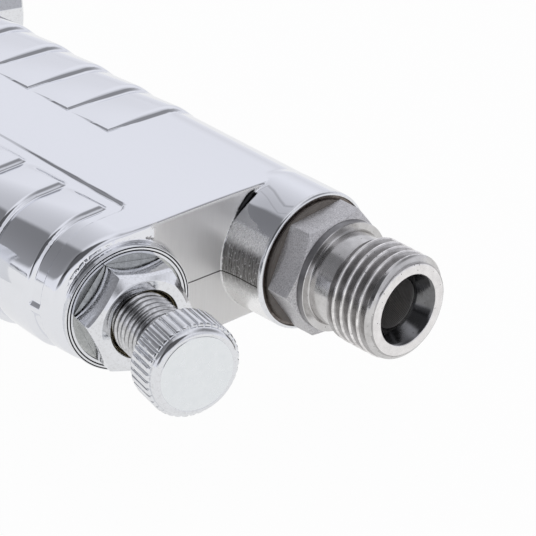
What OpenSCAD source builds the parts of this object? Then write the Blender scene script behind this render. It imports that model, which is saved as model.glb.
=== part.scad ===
// Pistol-grip tire inflator for compressed air.
// The origin is the centre of the inlet nipple's mouth. +X is the nipple's axis and
// points out of the butt, +Y runs from the flow knob towards the nipple, and +Z
// points out of the upper flat face of the grip. The barrel runs across, towards -Y.

/* [Grip casting] */
// Thickness of the grip, face to face
grip_thickness = 17.4; // [16.8:0.1:18.4]
// Distance between the centre lines of the two round edges, at the butt
edge_span = 24.4; // [23.6:0.1:26]
// Height of the inlet edge's centre line above the nipple axis, at the butt
inlet_edge_y = 0.3; // [0:0.1:0.8]
// Outward taper of the inlet edge towards the head, in degrees
inlet_edge_taper = 1; // [0.5:0.1:1.5]
// Outward taper of the flow-knob edge towards the head, in degrees
knob_edge_taper = 1.4; // [0.8:0.1:1.8]
// Length of the grip from the butt's face to the barrel's axis
grip_length = 106; // [103:1:112]
// Angle of the barrel past square to the grip, in degrees
barrel_rake = 15; // [12:1:17]

/* [Grip pads] */
// Spacing of the finger pads along the grip
pad_pitch = 7.55; // [7:0.05:8]
// Height of a pad's step above the grip at its butt end
pad_rise = 0.6; // [0.3:0.05:0.9]
// Gap between a pad and the step of the next one
pad_gap = 0.45; // [0.2:0.05:1]
// Number of pads on the inlet edge
inlet_pad_count = 6; // [3:1:6]
// Number of pads on the flow-knob edge
knob_pad_count = 8; // [4:1:8]
// Distance from the butt's face to the first pad on the inlet edge
inlet_pad_start = 21.7; // [20:0.1:24]
// Distance from the butt's face to the first pad on the flow-knob edge
knob_pad_start = 7; // [6:0.1:9]
// Reach of the inlet edge's pads across the flat face
inlet_pad_reach = 8.4; // [7:0.1:9]
// Reach of the flow-knob edge's pads across the flat face
knob_pad_reach = 2.7; // [2:0.1:3.5]
// Depth of the pocket round the flow-knob edge's pads
pocket_depth = 0.45; // [0.2:0.05:0.7]
// Width of the open channel between those pads and the pocket's wall
pocket_channel = 2.4; // [1.5:0.1:3]

/* [Butt and inlet] */
// Setback of the butt's face behind the nipple mouth
butt_setback = 22.2; // [21.6:0.1:23.4]
// Length of the inlet boss beyond the butt's face
inlet_boss_length = 6.6; // [6:0.1:7]
// Diameter of the inlet boss
inlet_boss_d = 17.4; // [17:0.1:18]
// Rounding of the two bosses' rims
boss_rim = 0.4; // [0.3:0.1:0.8]
// Outer diameter of the inlet nipple's G1/4 pipe thread
inlet_thread_d = 13.16; // [13.1:0.02:13.2]
// Length of the inlet nipple's outer thread
inlet_thread_length = 7.1; // [6.5:0.1:7.5]
// Diameter of the nipple's plain neck
nipple_neck_d = 11.7; // [11.4:0.1:12]
// Length of the nipple's plain neck
nipple_neck_length = 3.45; // [3:0.05:3.6]
// Diameter of the round land in front of the nipple's hexagon
nipple_land_d = 13.8; // [13.3:0.1:13.9]
// Height of that land
nipple_land_height = 0.95; // [0.6:0.05:1.2]
// Width across the flats of the nipple's hexagon
nipple_hex = 14; // [14:0.1:15]
// Turn of the nipple's hexagon about its axis, in degrees
nipple_hex_turn = 6.3; // [0:0.1:59]
// Diameter of the nipple's mouth
nipple_mouth_d = 8.9; // [8:0.1:9.2]
// Depth of the nipple's sealing cone, from the mouth down to the bore
nipple_mouth_depth = 2.2; // [1.8:0.1:3]
// Diameter of the nipple's through bore
nipple_bore_d = 6.4; // [5.5:0.1:7]
// Length of the nipple's tail inside the boss
nipple_tail = 9.8; // [8:0.1:11]
// Thickness of the inlet sealing washer
inlet_washer_t = 0.4; // [0.3:0.05:0.5]

/* [Flow control] */
// Tilt of the flow control's axis away from the nipple's, in degrees
flow_tilt = 14.6; // [13:0.1:15.5]
// Offset of the flow control's axis below the grip's middle plane
flow_drop = 0.7; // [0:0.1:0.9]
// Diameter of the boss round the gland nut
flow_boss_d = 16; // [15.8:0.1:16.6]
// Width across the flats of the gland nut
gland_hex = 12; // [12:0.1:13]
// Length of the gland nut outside the boss
gland_length = 4.2; // [3.8:0.1:4.6]
// Turn of the gland nut about its axis, in degrees
gland_turn = 56.4; // [0:0.1:59]
// Outer diameter of the gland nut's thread in the boss
gland_thread_d = 10; // [9.8:0.1:10.2]
// Outer diameter of the flow screw's thread
flow_thread_d = 7.8; // [7.4:0.1:8]
// Diameter of the flow knob over its knurl
knob_d = 11.9; // [11.2:0.1:12.6]
// Thickness of the flow knob
knob_t = 5.05; // [4.5:0.05:5.6]
// Distance from the boss to the flow knob's front
knob_reach = 17; // [16.4:0.1:18]
// Number of ridges in the knob's knurl
knurl_count = 38; // [30:1:44]
// Diameter of the raised disc on the knob's front
knob_disc_d = 9.7; // [9:0.1:10]
// Rounding of that disc's edge
knob_disc_round = 0.4; // [0.2:0.1:0.6]

/* [Air valve] */
// Distance from the barrel's axis down to the air valve's axis
valve_drop = 22; // [21:0.5:24]
// Bore diameter of the air valve's chamber
valve_bore_d = 12.6; // [12:0.1:13]
// Diameter of the valve stem
stem_d = 3.2; // [3:0.1:3.6]
// Diameter of the hole in the valve seat
seat_hole_d = 6; // [5.4:0.1:6.6]
// Width across the flats of the rear valve plug
plug_hex = 14; // [13:0.5:15]
// Width across the flats of the packing nut in front
packing_hex = 12; // [12:0.5:13]
// Wire diameter of the valve spring
spring_wire = 0.9; // [0.7:0.1:1]

/* [Trigger] */
// Distance from the trigger pin forward of the grip's crossing with the barrel
pivot_forward = 22; // [21:0.5:24]
// Height of the trigger pin above the barrel's axis
pivot_rise = 7; // [6.8:0.1:7.4]
// Diameter of the trigger pin
pin_d = 5; // [4.6:0.1:5]
// Sheet thickness of the trigger
trigger_sheet = 1.8; // [1.4:0.1:2]
// Length of the trigger below the barrel's axis
trigger_length = 74; // [70:1:80]
// Free play between the trigger and the valve stem
trigger_play = 0.1; // [0.05:0.05:0.2]

/* [Barrel and stem] */
// Diameter of the barrel's rear part
barrel_d = 22; // [21.4:0.2:22]
// Diameter of the barrel's front part
muzzle_d = 18; // [17:0.2:19]
// Length of the barrel in front of the grip's crossing
barrel_front = 46; // [45:0.5:50]
// Length of the barrel behind the grip's crossing
barrel_rear = 26; // [25.5:0.5:28]
// Outer diameter of the steel stem tube
stem_tube_d = 8; // [7.6:0.1:8.4]
// Free length of the stem tube
stem_tube_length = 96; // [80:1:120]
// Width across the flats of the outlet fittings
outlet_hex = 14; // [13.5:0.5:15]

/* [Chuck] */
// Angle between each chuck head and the stem tube, in degrees
chuck_angle = 38; // [35:1:42]
// Diameter of the opening that goes over a tire valve
chuck_mouth_d = 8.4; // [8.2:0.1:8.6]
// Outer diameter of a chuck cap
chuck_cap_d = 16.4; // [16:0.2:17]
// Travel of the depressor pins
depressor_travel = 1.6; // [1:0.1:1.8]

/* [Gauge] */
// Outer diameter of the gauge case
gauge_d = 50; // [50:0.5:52]
// Depth of the gauge case, back to lens
gauge_depth = 26; // [25.5:0.5:28]
// Distance from the barrel's axis to the gauge's centre
gauge_rise = 49; // [48.5:0.5:53]
// Thickness of the rubber boot round the gauge
boot_t = 3; // [2.4:0.1:3.4]
// Teeth on the gauge's pinion
pinion_teeth = 12; // [12:1:12]
// Teeth that the sector gear would have on a full circle
sector_teeth = 72; // [72:1:72]
// Module of the gauge's gear teeth
gear_module = 0.3; // [0.28:0.01:0.31]

/* [Fits] */
// Radial clearance of threads and fixed pieces
seat_gap = 0.03; // [0.02:0.01:0.05]
// Radial clearance of pieces that slide or turn
run_gap = 0.05; // [0.03:0.01:0.08]

/* [Hidden] */
$fn = 64;

eps = 0.01;
grip_r = grip_thickness / 2;
butt_x = -butt_setback;
knob_edge_y = inlet_edge_y - edge_span;
boss_face_x = butt_x + inlet_boss_length;
inlet_thread_r = inlet_thread_d / 2;
nipple_tail_r = inlet_thread_r - seat_gap;
neck_x = -inlet_thread_length;
land_x = neck_x - nipple_neck_length;
nipple_hex_x = land_x - nipple_land_height;
nipple_seat_x = boss_face_x + inlet_washer_t;
nipple_end_x = nipple_seat_x - nipple_tail;
strainer_t = 0.8;
strainer_seat_x = nipple_end_x - strainer_t - seat_gap;

flow_boss_y = knob_edge_y - 0.1;
flow_face_x = butt_x + 0.7;
flow_boss_step = 1;
gland_shank = 7.5;
flow_spindle_r = 2.6;
flow_thread_r = flow_thread_d / 2;
flow_seat_depth = 19;
flow_port_depth = 16.5;
flow_seat_r = 1.6;
flow_lift = 3;
flow_cone = 2;
flow_cone_tip_r = 0.5;
flow_groove_x = -10.05;
flow_chamber_r = 4;

cross_from = [strainer_seat_x - 17, 0];
cross_to = [flow_face_x - flow_port_depth * cos(flow_tilt), flow_boss_y + flow_port_depth * sin(flow_tilt)];

head_x = butt_x - grip_length;
head_y = (inlet_edge_y + knob_edge_y) / 2;
head_turn = 270 - barrel_rake;
barrel_r = barrel_d / 2;
muzzle_r = muzzle_d / 2;
air_r = 2.4;

stem_r = stem_d / 2;
valve_bore_r = valve_bore_d / 2;
valve_rear = -33;
valve_front = 19.5;
seat_front = -4;
seat_t = 4;
seat_lip = 0.8;
poppet_front = seat_front - seat_t - seat_lip;
disc_t = 2;
poppet_t = 5;
spring_front = poppet_front - disc_t - poppet_t;
plug_pocket = -30;
nose_r = 3;
trigger_back = pivot_forward + 10;
nose_x = trigger_back - trigger_play;
trigger_front = trigger_back + 5;
trigger_shoulder = 13;
trigger_bend = 30;
trigger_tip_x = trigger_back - 6;

cheek_gap = 0.25;
pivot_boss_r = 5.2;
pivot_boss_z = barrel_r + 0.2;
cheek_z = pivot_boss_z + cheek_gap;
cheek_outer_z = cheek_z + trigger_sheet;
pin_r = pin_d / 2;
clip_t = 0.8;
clip_gap = 0.15;

bleed_bore_r = 5.5;
bleed_bore_depth = 12;
bleed_button_r = 4;
bleed_travel = 2.2;

outlet_thread_r = 4.86;
outlet_bore_depth = 10;
tube_r = stem_tube_d / 2;
tube_start = barrel_front + 9;
tube_end = tube_start + stem_tube_length;
chuck_x = tube_end + 3;
chuck_neck_r = 5.6;
chuck_neck_start = tube_end - 15;
tube_nut_length = 7;

cap_r = chuck_cap_d / 2;
spigot_r = 6.3;
spigot_end = 22;
cap_start = 15.2;
seal_t = 2.6;
cap_lip = 3;
cap_end = spigot_end + seal_t + cap_lip;
depressor_r = 1.5;
flange_r = 3.4;
chuck_bore_r = 3.8;
chuck_bore_back = 9;
spring_closed = 4.9;
flange_back = chuck_bore_back + spring_closed + depressor_travel;
flange_t = 2;

case_r = gauge_d / 2;
case_wall = 1.2;
case_back = -gauge_depth / 2;
lens_front = gauge_depth / 2;
lens_t = 2;
bezel_lip = 2.2;
bezel_wall = 1.2;
bezel_depth = 5;
dial_z = 5.6;
dial_t = 0.5;
dial_r = case_r - case_wall - 0.8;
dial_screw_head = 0.6;
pointer_z = dial_z + dial_t + dial_screw_head + 0.4;
pointer_hub = 1.4;
pinion_r = pinion_teeth * gear_module / 2;
sector_r = sector_teeth * gear_module / 2;
gear_distance = pinion_r + sector_r;
sector_angle = 45;
pointer_rest = 45;
arbor_r = 0.55;
tail_r = 5;
sector_tail = -75;
pillars = [[-11, -3], [9.5, -6.5]];
coil_r = 17;
coil_t = 2.4;
coil_depth = 7;
socket_hex = 14;
plate_top = 3.5;
plate_t = 0.8;

// Frames -------------------------------------------------------------------------

// Centre line of the inlet edge: x runs from butt to head, y towards the grip's middle
module at_inlet_edge() {
  translate([butt_x, inlet_edge_y, 0])
    rotate([0, 0, 180 - inlet_edge_taper])
      children();
}

// The same for the flow-knob edge
module at_knob_edge() {
  translate([butt_x, knob_edge_y, 0])
    rotate([0, 0, 180 + knob_edge_taper])
      mirror([0, 1, 0])
        children();
}

// Axis of the flow control: x points out of the boss
module at_flow() {
  translate([flow_face_x, flow_boss_y, -flow_drop])
    rotate([0, 0, -flow_tilt])
      children();
}

// Barrel: x points to the outlet, y down the grip
module at_head() {
  translate([head_x, head_y, 0])
    rotate([0, 0, head_turn])
      children();
}

module at_valve() {
  at_head() translate([0, valve_drop, 0]) children();
}

module at_pivot() {
  at_head() translate([pivot_forward, -pivot_rise, 0]) children();
}

// Gauge centre: the gauge's foot is towards +y
module at_gauge() {
  at_head() translate([0, -gauge_rise, 0]) children();
}

// Chuck heads: x points out of each mouth
module at_front_chuck() {
  at_head() translate([chuck_x, 0, 0]) rotate([0, 0, chuck_angle]) children();
}

module at_rear_chuck() {
  at_head() translate([chuck_x, 0, 0]) rotate([0, 0, -90 - chuck_angle]) children();
}

// Shapes -------------------------------------------------------------------------

// Solid of revolution about x from [x, radius] points
module turned(points) {
  rotate([0, 90, 0])
    rotate_extrude()
      polygon([for (p = points) [p[1], p[0]]]);
}

// Plain round bar along x, from x0 to x1
module bar(r, x0, x1) {
  translate([x0, 0, 0])
    rotate([0, 90, 0])
      cylinder(r = r, h = x1 - x0);
}

// Ring along x
module ring(outer, inner, x0, x1) {
  difference() {
    bar(outer, x0, x1);
    bar(inner, x0 - 1, x1 + 1);
  }
}

// Points of an arc, for outlines
function arc(cx, cy, r, a0, a1, steps = 6) =
  [for (i = [0 : steps]) let (a = a0 + (a1 - a0) * i / steps) [cx + r * cos(a), cy + r * sin(a)]];

// Points of a bow from p to q that is pulled towards its pole, for outlines
function bow(p, pole, q, steps = 12) =
  [for (i = [0 : steps]) let (t = i / steps) (1 - t) * (1 - t) * p + 2 * t * (1 - t) * pole + t * t * q];

function corner_radius(flats) = flats / sqrt(3);

// Hexagon bar along x, chamfered at both ends down to round lands
module hexagon(flats, x0, x1, land0, land1, turn = 0) {
  corner = corner_radius(flats);
  chamfer0 = (corner - land0) * tan(30);
  chamfer1 = (corner - land1) * tan(30);
  intersection() {
    rotate([turn, 0, 0])
      translate([x0, 0, 0])
        rotate([0, 90, 0])
          rotate([0, 0, 90])
            cylinder(r = corner, h = x1 - x0, $fn = 6);
    turned([[x0, 0], [x0, land0], [x0 + chamfer0, corner + eps], [x1 - chamfer1, corner + eps],
            [x1, land1], [x1, 0]]);
  }
}

// Boss along x with a rounded rim at x1
module boss(r, x0, x1, rim) {
  turned(concat([[x0, 0], [x0, r]], arc(x1 - rim, r - rim, rim, 90, 0), [[x1, 0]]));
}

// Round wire wound into a spring along x, as separate closed turns
module spring(mean_r, wire, x0, x1, turns) {
  step = (x1 - x0 - wire) / (turns - 1);
  for (i = [0 : turns - 1])
    translate([x0 + wire / 2 + i * step, 0, 0])
      rotate([0, 90, 0])
        rotate_extrude($fn = 32)
          translate([mean_r, 0]) circle(d = wire, $fn = 16);
}

// Gun body -----------------------------------------------------------------------

// Flat-sided, round-edged grip, drawn in by inset on every side
module grip_core(inset) {
  r = grip_r - inset;
  reach = grip_length + 2;
  union() {
    at_inlet_edge() bar(r, 0, reach);
    at_knob_edge() bar(r, 0, reach);
    translate([0, 0, -(r - eps)])
      linear_extrude(2 * (r - eps))
        polygon([
          [butt_x, inlet_edge_y],
          [butt_x - reach, inlet_edge_y + reach * tan(inlet_edge_taper)],
          [butt_x - reach, knob_edge_y - reach * tan(knob_edge_taper)],
          [butt_x, knob_edge_y]
        ]);
  }
}

// One finger pad: a shingle that rises towards the butt and wraps the round edge
module pad(x0, reach) {
  length = pad_pitch - pad_gap;
  high = grip_r + pad_rise;
  translate([x0, 0, 0])
    rotate([0, 90, 0])
      cylinder(r1 = high, r2 = grip_r - eps, h = length);
  translate([0, reach, 0])
    rotate([90, 0, 0])
      linear_extrude(reach)
        polygon([
          [x0, -high + eps], [x0, high - eps],
          [x0 + length, grip_r - 2 * eps], [x0 + length, -grip_r + 2 * eps]
        ]);
}

// Pocket round the flow-knob edge's pads
module pad_pocket() {
  length = knob_pad_count * pad_pitch + 1;
  width = knob_pad_reach + pocket_channel;
  difference() {
    translate([knob_pad_start - 1.2, width - 2 * grip_r - 8, -2 * grip_r])
      cube([length, 2 * grip_r + 8, 4 * grip_r]);
    bar(grip_r - pocket_depth, 0, grip_length);
    translate([0, 0, -grip_r + pocket_depth + eps])
      cube([grip_length, width + 1, 2 * (grip_r - pocket_depth - eps)]);
  }
}

// Barrel with its muzzle, turned about the barrel's axis
module barrel() {
  rim = 2;
  turned(concat(
    [[-barrel_rear, 0]],
    arc(-barrel_rear + rim, barrel_r - rim, rim, 180, 90),
    [[pivot_forward + 7, barrel_r], [pivot_forward + 14, muzzle_r]],
    arc(barrel_front - 1, muzzle_r - 1, 1, 90, 0),
    [[barrel_front, 0]]
  ));
}

// Curved throat that joins the grip's front to the barrel's underside
module throat() {
  throat_r = 13;
  throat_x = 33;
  throat_y = barrel_r + throat_r - 2;
  translate([0, 0, -grip_r + 1])
    linear_extrude(2 * (grip_r - 1))
      polygon(concat(
        [[0, 0], [throat_x, 0]],
        arc(throat_x, throat_y, throat_r, 270, 180, 10),
        [[0, throat_y]]
      ));
}

// Air passages and the bores that the fittings screw into
module body_bores() {
  bar(inlet_thread_r, strainer_seat_x, boss_face_x + 1);
  bar(4.6, strainer_seat_x - 20, strainer_seat_x + 1);
  at_flow() {
    bar(gland_thread_d / 2 + seat_gap, -gland_shank - seat_gap, 4);
    bar(flow_chamber_r, -flow_seat_depth, 0);
    bar(flow_seat_r, -84, 0);
  }
  translate([cross_from[0], cross_from[1], -flow_drop / 2])
    rotate([0, 0, atan2(cross_to[1] - cross_from[1], cross_to[0] - cross_from[0])])
      bar(1.8, 0, norm(cross_to - cross_from));
  at_head() {
    bar(air_r, -barrel_rear + 4, barrel_front - 4);
    bar(bleed_bore_r + seat_gap, -barrel_rear - 1, -barrel_rear + bleed_bore_depth);
    bar(outlet_thread_r + seat_gap, barrel_front - outlet_bore_depth, barrel_front + 1);
    rotate([90, 0, 0]) {
      translate([0, 0, 4]) cylinder(r = outlet_thread_r + seat_gap, h = 20);
      cylinder(r = 1.2, h = 12);
    }
    translate([4, 0, 0]) rotate([-90, 0, 0]) cylinder(r = 2, h = valve_drop);
  }
  at_valve() {
    bar(valve_bore_r, valve_rear - 1, seat_front);
    bar(4.2, seat_front - 1, 12);
    bar(5.2, 9, valve_front + 1);
    bar(corner_radius(packing_hex) + 0.4, valve_front, valve_front + 20);
  }
  at_pivot() cylinder(r = pin_r + seat_gap, h = 60, center = true);
}

module gun_body() {
  color("silver")
    difference() {
      union() {
        difference() {
          grip_core(0);
          at_knob_edge() pad_pocket();
          at_flow() translate([-flow_boss_step, -30, -20]) cube([20, 60, 40]);
        }
        at_inlet_edge()
          for (i = [0 : inlet_pad_count - 1]) pad(inlet_pad_start + i * pad_pitch, inlet_pad_reach);
        at_knob_edge()
          for (i = [0 : knob_pad_count - 1]) pad(knob_pad_start + i * pad_pitch, knob_pad_reach);
        boss(inlet_boss_d / 2, butt_x - 6, boss_face_x, boss_rim);
        at_flow() boss(flow_boss_d / 2, -8, 0, boss_rim);
        at_head() {
          barrel();
          throat();
          rotate([90, 0, 0]) cylinder(r = 7.6, h = 15);
        }
        at_valve() {
          boss(grip_r + 0.3, valve_rear + 12, valve_front, 1);
          mirror([1, 0, 0]) boss(grip_r + 0.3, -12, -valve_rear, 1);
        }
        at_pivot() cylinder(r = pivot_boss_r, h = 2 * pivot_boss_z, center = true);
      }
      body_bores();
    }
}

// Inlet --------------------------------------------------------------------------

module inlet_nipple() {
  chamfer = 1.1;
  color("lightslategray")
    difference() {
      union() {
        turned([
          [nipple_end_x, 0], [nipple_end_x, nipple_tail_r - 0.8], [nipple_end_x + 0.8, nipple_tail_r],
          [nipple_seat_x, nipple_tail_r], [nipple_hex_x, nipple_tail_r], [nipple_hex_x, nipple_land_d / 2],
          [land_x, nipple_land_d / 2], [land_x, nipple_neck_d / 2], [neck_x - 0.3, nipple_neck_d / 2],
          [neck_x, inlet_thread_r], [-chamfer, inlet_thread_r], [0, inlet_thread_r - chamfer], [0, 0]
        ]);
        hexagon(nipple_hex, nipple_seat_x, nipple_hex_x, nipple_hex / 2 + 0.3, nipple_land_d / 2,
                nipple_hex_turn);
      }
      bar(nipple_bore_d / 2, nipple_end_x - 1, 1);
      turned([[-nipple_mouth_depth, 0], [-nipple_mouth_depth, nipple_bore_d / 2],
              [0, nipple_mouth_d / 2], [1, nipple_mouth_d / 2], [1, 0]]);
    }
}

module inlet_washer() {
  color("dimgray") ring(nipple_hex / 2 + 0.8, inlet_thread_r + 0.2, boss_face_x, nipple_seat_x);
}

// Filter cup held between the nipple's tail and a step in the bore
module inlet_strainer() {
  cup = 11;
  cup_wall = 0.4;
  cup_r = 4.2;
  color("darkgoldenrod")
    difference() {
      turned([
        [strainer_seat_x - cup, 0], [strainer_seat_x - cup, cup_r - 1.4], [strainer_seat_x, cup_r],
        [strainer_seat_x, inlet_thread_r - 0.4], [strainer_seat_x + strainer_t, inlet_thread_r - 0.4],
        [strainer_seat_x + strainer_t, 0]
      ]);
      turned([
        [strainer_seat_x - cup + cup_wall, 0], [strainer_seat_x - cup + cup_wall, cup_r - 1.4 - cup_wall],
        [strainer_seat_x, cup_r - cup_wall], [strainer_seat_x + 1, cup_r - cup_wall],
        [strainer_seat_x + 1, 0]
      ]);
    }
}

// Flow control -------------------------------------------------------------------

module gland_nut() {
  land_r = gland_hex / 2 - 0.53;
  color("gainsboro")
    at_flow()
      difference() {
        union() {
          hexagon(gland_hex, 0, gland_length, corner_radius(gland_hex), land_r, gland_turn);
          bar(gland_thread_d / 2, -gland_shank, eps);
        }
        bar(flow_thread_r + run_gap, -gland_shank - 1, gland_length + 1);
        turned([[gland_length - 0.5, 0], [gland_length - 0.5, flow_thread_r + run_gap],
                [gland_length, flow_thread_r + 0.4], [gland_length + 1, flow_thread_r + 0.4],
                [gland_length + 1, 0]]);
      }
}

// Threaded screw with a cone point; the knob is pressed on its outer end
module flow_screw() {
  in_seat = flow_cone * (flow_seat_r - flow_cone_tip_r) / (flow_spindle_r - flow_cone_tip_r);
  closed_tip = -flow_seat_depth - in_seat;
  tip = closed_tip + flow_lift + run_gap;
  groove = flow_groove_x;
  color("darkkhaki")
    at_flow()
      turned([
        [tip, 0], [tip, flow_cone_tip_r], [tip + flow_cone, flow_spindle_r],
        [groove - 1, flow_spindle_r], [groove - 1, flow_spindle_r - 0.9], [groove + 1, flow_spindle_r - 0.9],
        [groove + 1, flow_spindle_r], [-6.4, flow_spindle_r], [-6, flow_thread_r],
        [knob_reach - knob_t, flow_thread_r], [knob_reach - knob_t, 3],
        [knob_reach - 1.6, 3], [knob_reach - 1.6, 0]
      ]);
}

// The O-ring slides along the bore with the screw
module flow_o_ring() {
  color("black")
    at_flow()
      ring(flow_chamber_r - run_gap, flow_spindle_r - 0.9 + run_gap, flow_groove_x - 0.9, flow_groove_x + 0.9);
}

module flow_knob() {
  r = knob_d / 2;
  disc_r = knob_disc_d / 2;
  back = knob_reach - knob_t;
  flute_r = PI * knob_d / knurl_count / 3.4;
  color("whitesmoke")
    at_flow()
      difference() {
        turned(concat(
          [[back, 0], [back, r - 0.6], [back + 0.4, r]],
          [[knob_reach - knob_disc_round - 0.5, r], [knob_reach - knob_disc_round, r - 0.6]],
          arc(knob_reach - knob_disc_round, disc_r - knob_disc_round, knob_disc_round, 90, 0),
          [[knob_reach, 0]]
        ));
        for (i = [0 : knurl_count - 1])
          rotate([i * 360 / knurl_count, 0, 0])
            translate([back - 1, 0, r + flute_r * 0.35])
              rotate([0, 90, 0])
                cylinder(r = flute_r, h = knob_t + 2, $fn = 6);
        bar(3 + seat_gap, back - 1, knob_reach - 1.6 + seat_gap);
      }
}

// Air valve ----------------------------------------------------------------------

module valve_seat() {
  color("goldenrod")
    at_valve()
      difference() {
        union() {
          bar(valve_bore_r - seat_gap, seat_front - seat_t, seat_front - seat_gap);
          bar(seat_hole_d / 2 + 0.7, seat_front - seat_t - seat_lip, seat_front - seat_t + eps);
        }
        bar(seat_hole_d / 2, seat_front - 20, seat_front + 1);
      }
}

// Push stem with the poppet's metal back; its nose meets the trigger
module valve_stem() {
  color("gainsboro")
    at_valve()
      turned(concat(
        [[spring_front - 4, 0], [spring_front - 4, 1.8], [spring_front, 1.8], [spring_front, 4.6],
         [poppet_front - disc_t, 4.6], [poppet_front - disc_t, stem_r], [nose_x - 4, stem_r],
         [nose_x - 4, nose_r - 0.6]],
        arc(nose_x - nose_r, 0, nose_r, 50, 0, 8)
      ));
}

module valve_disc() {
  color("black")
    at_valve()
      ring(4.6, stem_r + 0.02, poppet_front - disc_t, poppet_front - 0.02);
}

module valve_spring() {
  color("darkgray")
    at_valve()
      spring(2.6, spring_wire, plug_pocket + 0.05, spring_front - 0.05, 7);
}

module valve_plug() {
  shank_end = -26;
  color("silver")
    at_valve()
      difference() {
        union() {
          hexagon(plug_hex, valve_rear - 6, valve_rear, plug_hex / 2 - 0.3, plug_hex / 2 + 0.3, 15);
          bar(valve_bore_r - seat_gap, valve_rear - 1, shank_end);
        }
        bar(3.4, plug_pocket, shank_end + 1);
        ring(valve_bore_r + 1, valve_bore_r - 1, -29, -27.2);
      }
}

module plug_o_ring() {
  color("black") at_valve() ring(valve_bore_r - seat_gap, valve_bore_r - 0.97, -28.9, -27.3);
}

module packing_nut() {
  color("silver")
    at_valve()
      difference() {
        union() {
          hexagon(packing_hex, valve_front, valve_front + 3.2, packing_hex / 2 - 0.1,
                  packing_hex / 2 - 0.4, 15);
          bar(5.2 - seat_gap, 13, valve_front + eps);
        }
        bar(stem_r + run_gap, 0, 40);
      }
}

module stem_packing() {
  color("dimgray") at_valve() ring(5.2 - seat_gap, stem_r + run_gap, 9.1, 12.9);
}

// Trigger ------------------------------------------------------------------------

// Rear and front outlines of the trigger, seen from the side in the barrel's frame
function trigger_rear_line() =
  concat(
    [[trigger_back, trigger_shoulder]],
    bow([trigger_back, trigger_bend], [trigger_back, trigger_bend + 18], [trigger_tip_x - 2, trigger_length - 2])
  );

function trigger_front_line() =
  concat(
    bow([trigger_tip_x + 5, trigger_length - 4], [trigger_front, trigger_bend + 16], [trigger_front, trigger_bend]),
    [[trigger_front, trigger_shoulder]]
  );

// Cheek that reaches from the front web up to the pin
module trigger_cheek() {
  difference() {
    linear_extrude(trigger_sheet)
      polygon(concat(
        arc(pivot_forward, -pivot_rise, pivot_boss_r + 1.3, 200, 350, 10),
        [[trigger_back + 3, 4], [trigger_front, trigger_shoulder], [trigger_front, trigger_bend],
         [trigger_back + 1, trigger_bend], [trigger_back - 2, trigger_shoulder - 1]]
      ));
    translate([pivot_forward, -pivot_rise, -1])
      cylinder(r = pin_r + run_gap, h = trigger_sheet + 2);
  }
}

// Finger lever: a channel open towards the grip, with a cheek on each side of the barrel
module trigger() {
  hollow_top = trigger_bend + 3;
  hollow_end = trigger_length - 10;
  color("silver")
    at_head() {
      difference() {
        translate([0, 0, -cheek_outer_z])
          linear_extrude(2 * cheek_outer_z)
            polygon(concat(
              trigger_rear_line(), arc(trigger_tip_x + 1.5, trigger_length - 3.5, 3.5, 150, 20),
              trigger_front_line()
            ));
        translate([0, 0, -cheek_z])
          linear_extrude(2 * cheek_z)
            polygon(concat(
              [[trigger_back - 20, hollow_top], [trigger_front - trigger_sheet, hollow_top]],
              bow([trigger_front - trigger_sheet, hollow_top], [trigger_front - trigger_sheet - 0.4, trigger_bend + 18],
                  [trigger_tip_x + 3, hollow_end]),
              [[trigger_back - 20, hollow_end]]
            ));
      }
      translate([0, 0, cheek_z]) trigger_cheek();
      translate([0, 0, -cheek_outer_z]) trigger_cheek();
    }
}

module trigger_pin() {
  end_z = cheek_outer_z + clip_gap + clip_t + 0.8;
  groove_z = cheek_outer_z + clip_gap;
  color("gainsboro")
    at_pivot()
      difference() {
        cylinder(r = pin_r, h = 2 * end_z, center = true);
        for (side = [0, 1])
          mirror([0, 0, side])
            translate([0, 0, groove_z])
              difference() {
                cylinder(r = pin_r + 1, h = clip_t + 0.04);
                translate([0, 0, -1]) cylinder(r = pin_r - 0.6, h = clip_t + 2);
              }
      }
}

// Open retaining rings in the pin's grooves
module pin_clips() {
  color("dimgray")
    at_pivot()
      for (side = [0, 1])
        mirror([0, 0, side])
          translate([0, 0, cheek_outer_z + clip_gap + 0.02])
            difference() {
              cylinder(r = pin_r + 1.4, h = clip_t);
              translate([0, 0, -1]) cylinder(r = pin_r - 0.55, h = clip_t + 2);
              translate([0, -1.2, -1]) cube([10, 2.4, clip_t + 2]);
            }
}

// Bleed valve --------------------------------------------------------------------

module bleed_sleeve() {
  rear = -barrel_rear;
  color("silver")
    at_head()
      difference() {
        union() {
          hexagon(14, rear - 4, rear, 7, 6.7, 0);
          bar(bleed_bore_r, rear - eps, rear + 5);
        }
        bar(bleed_button_r + run_gap, rear - 3, rear + 6);
        bar(bleed_button_r - 0.7 + run_gap, rear - 5, rear - 2);
      }
}

// Domed button; its shoulder is held inside the sleeve
module bleed_button() {
  rear = -barrel_rear;
  shoulder = rear - 3 + run_gap;
  tip = rear - 5.8 - bleed_travel;
  color("firebrick")
    at_head()
      turned([
        [tip, 0], [tip + 0.2, 2], [tip + 1, bleed_button_r - 0.9], [tip + 1.6, bleed_button_r - 0.7],
        [shoulder, bleed_button_r - 0.7], [shoulder, bleed_button_r], [rear + 1.5, bleed_button_r],
        [rear + 1.5, 1.2], [rear + bleed_bore_depth - 3, 1.2], [rear + bleed_bore_depth - 3, 0]
      ]);
}

module bleed_spring() {
  rear = -barrel_rear;
  color("darkgray") at_head() spring(2.4, 0.5, rear + 1.55, rear + bleed_bore_depth - 2.7, 6);
}

module bleed_seal() {
  rear = -barrel_rear;
  color("black")
    at_head()
      ring(bleed_bore_r, 1.2 + run_gap, rear + bleed_bore_depth - 2.6, rear + bleed_bore_depth - 0.05);
}

// Outlet and stem ----------------------------------------------------------------

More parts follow.
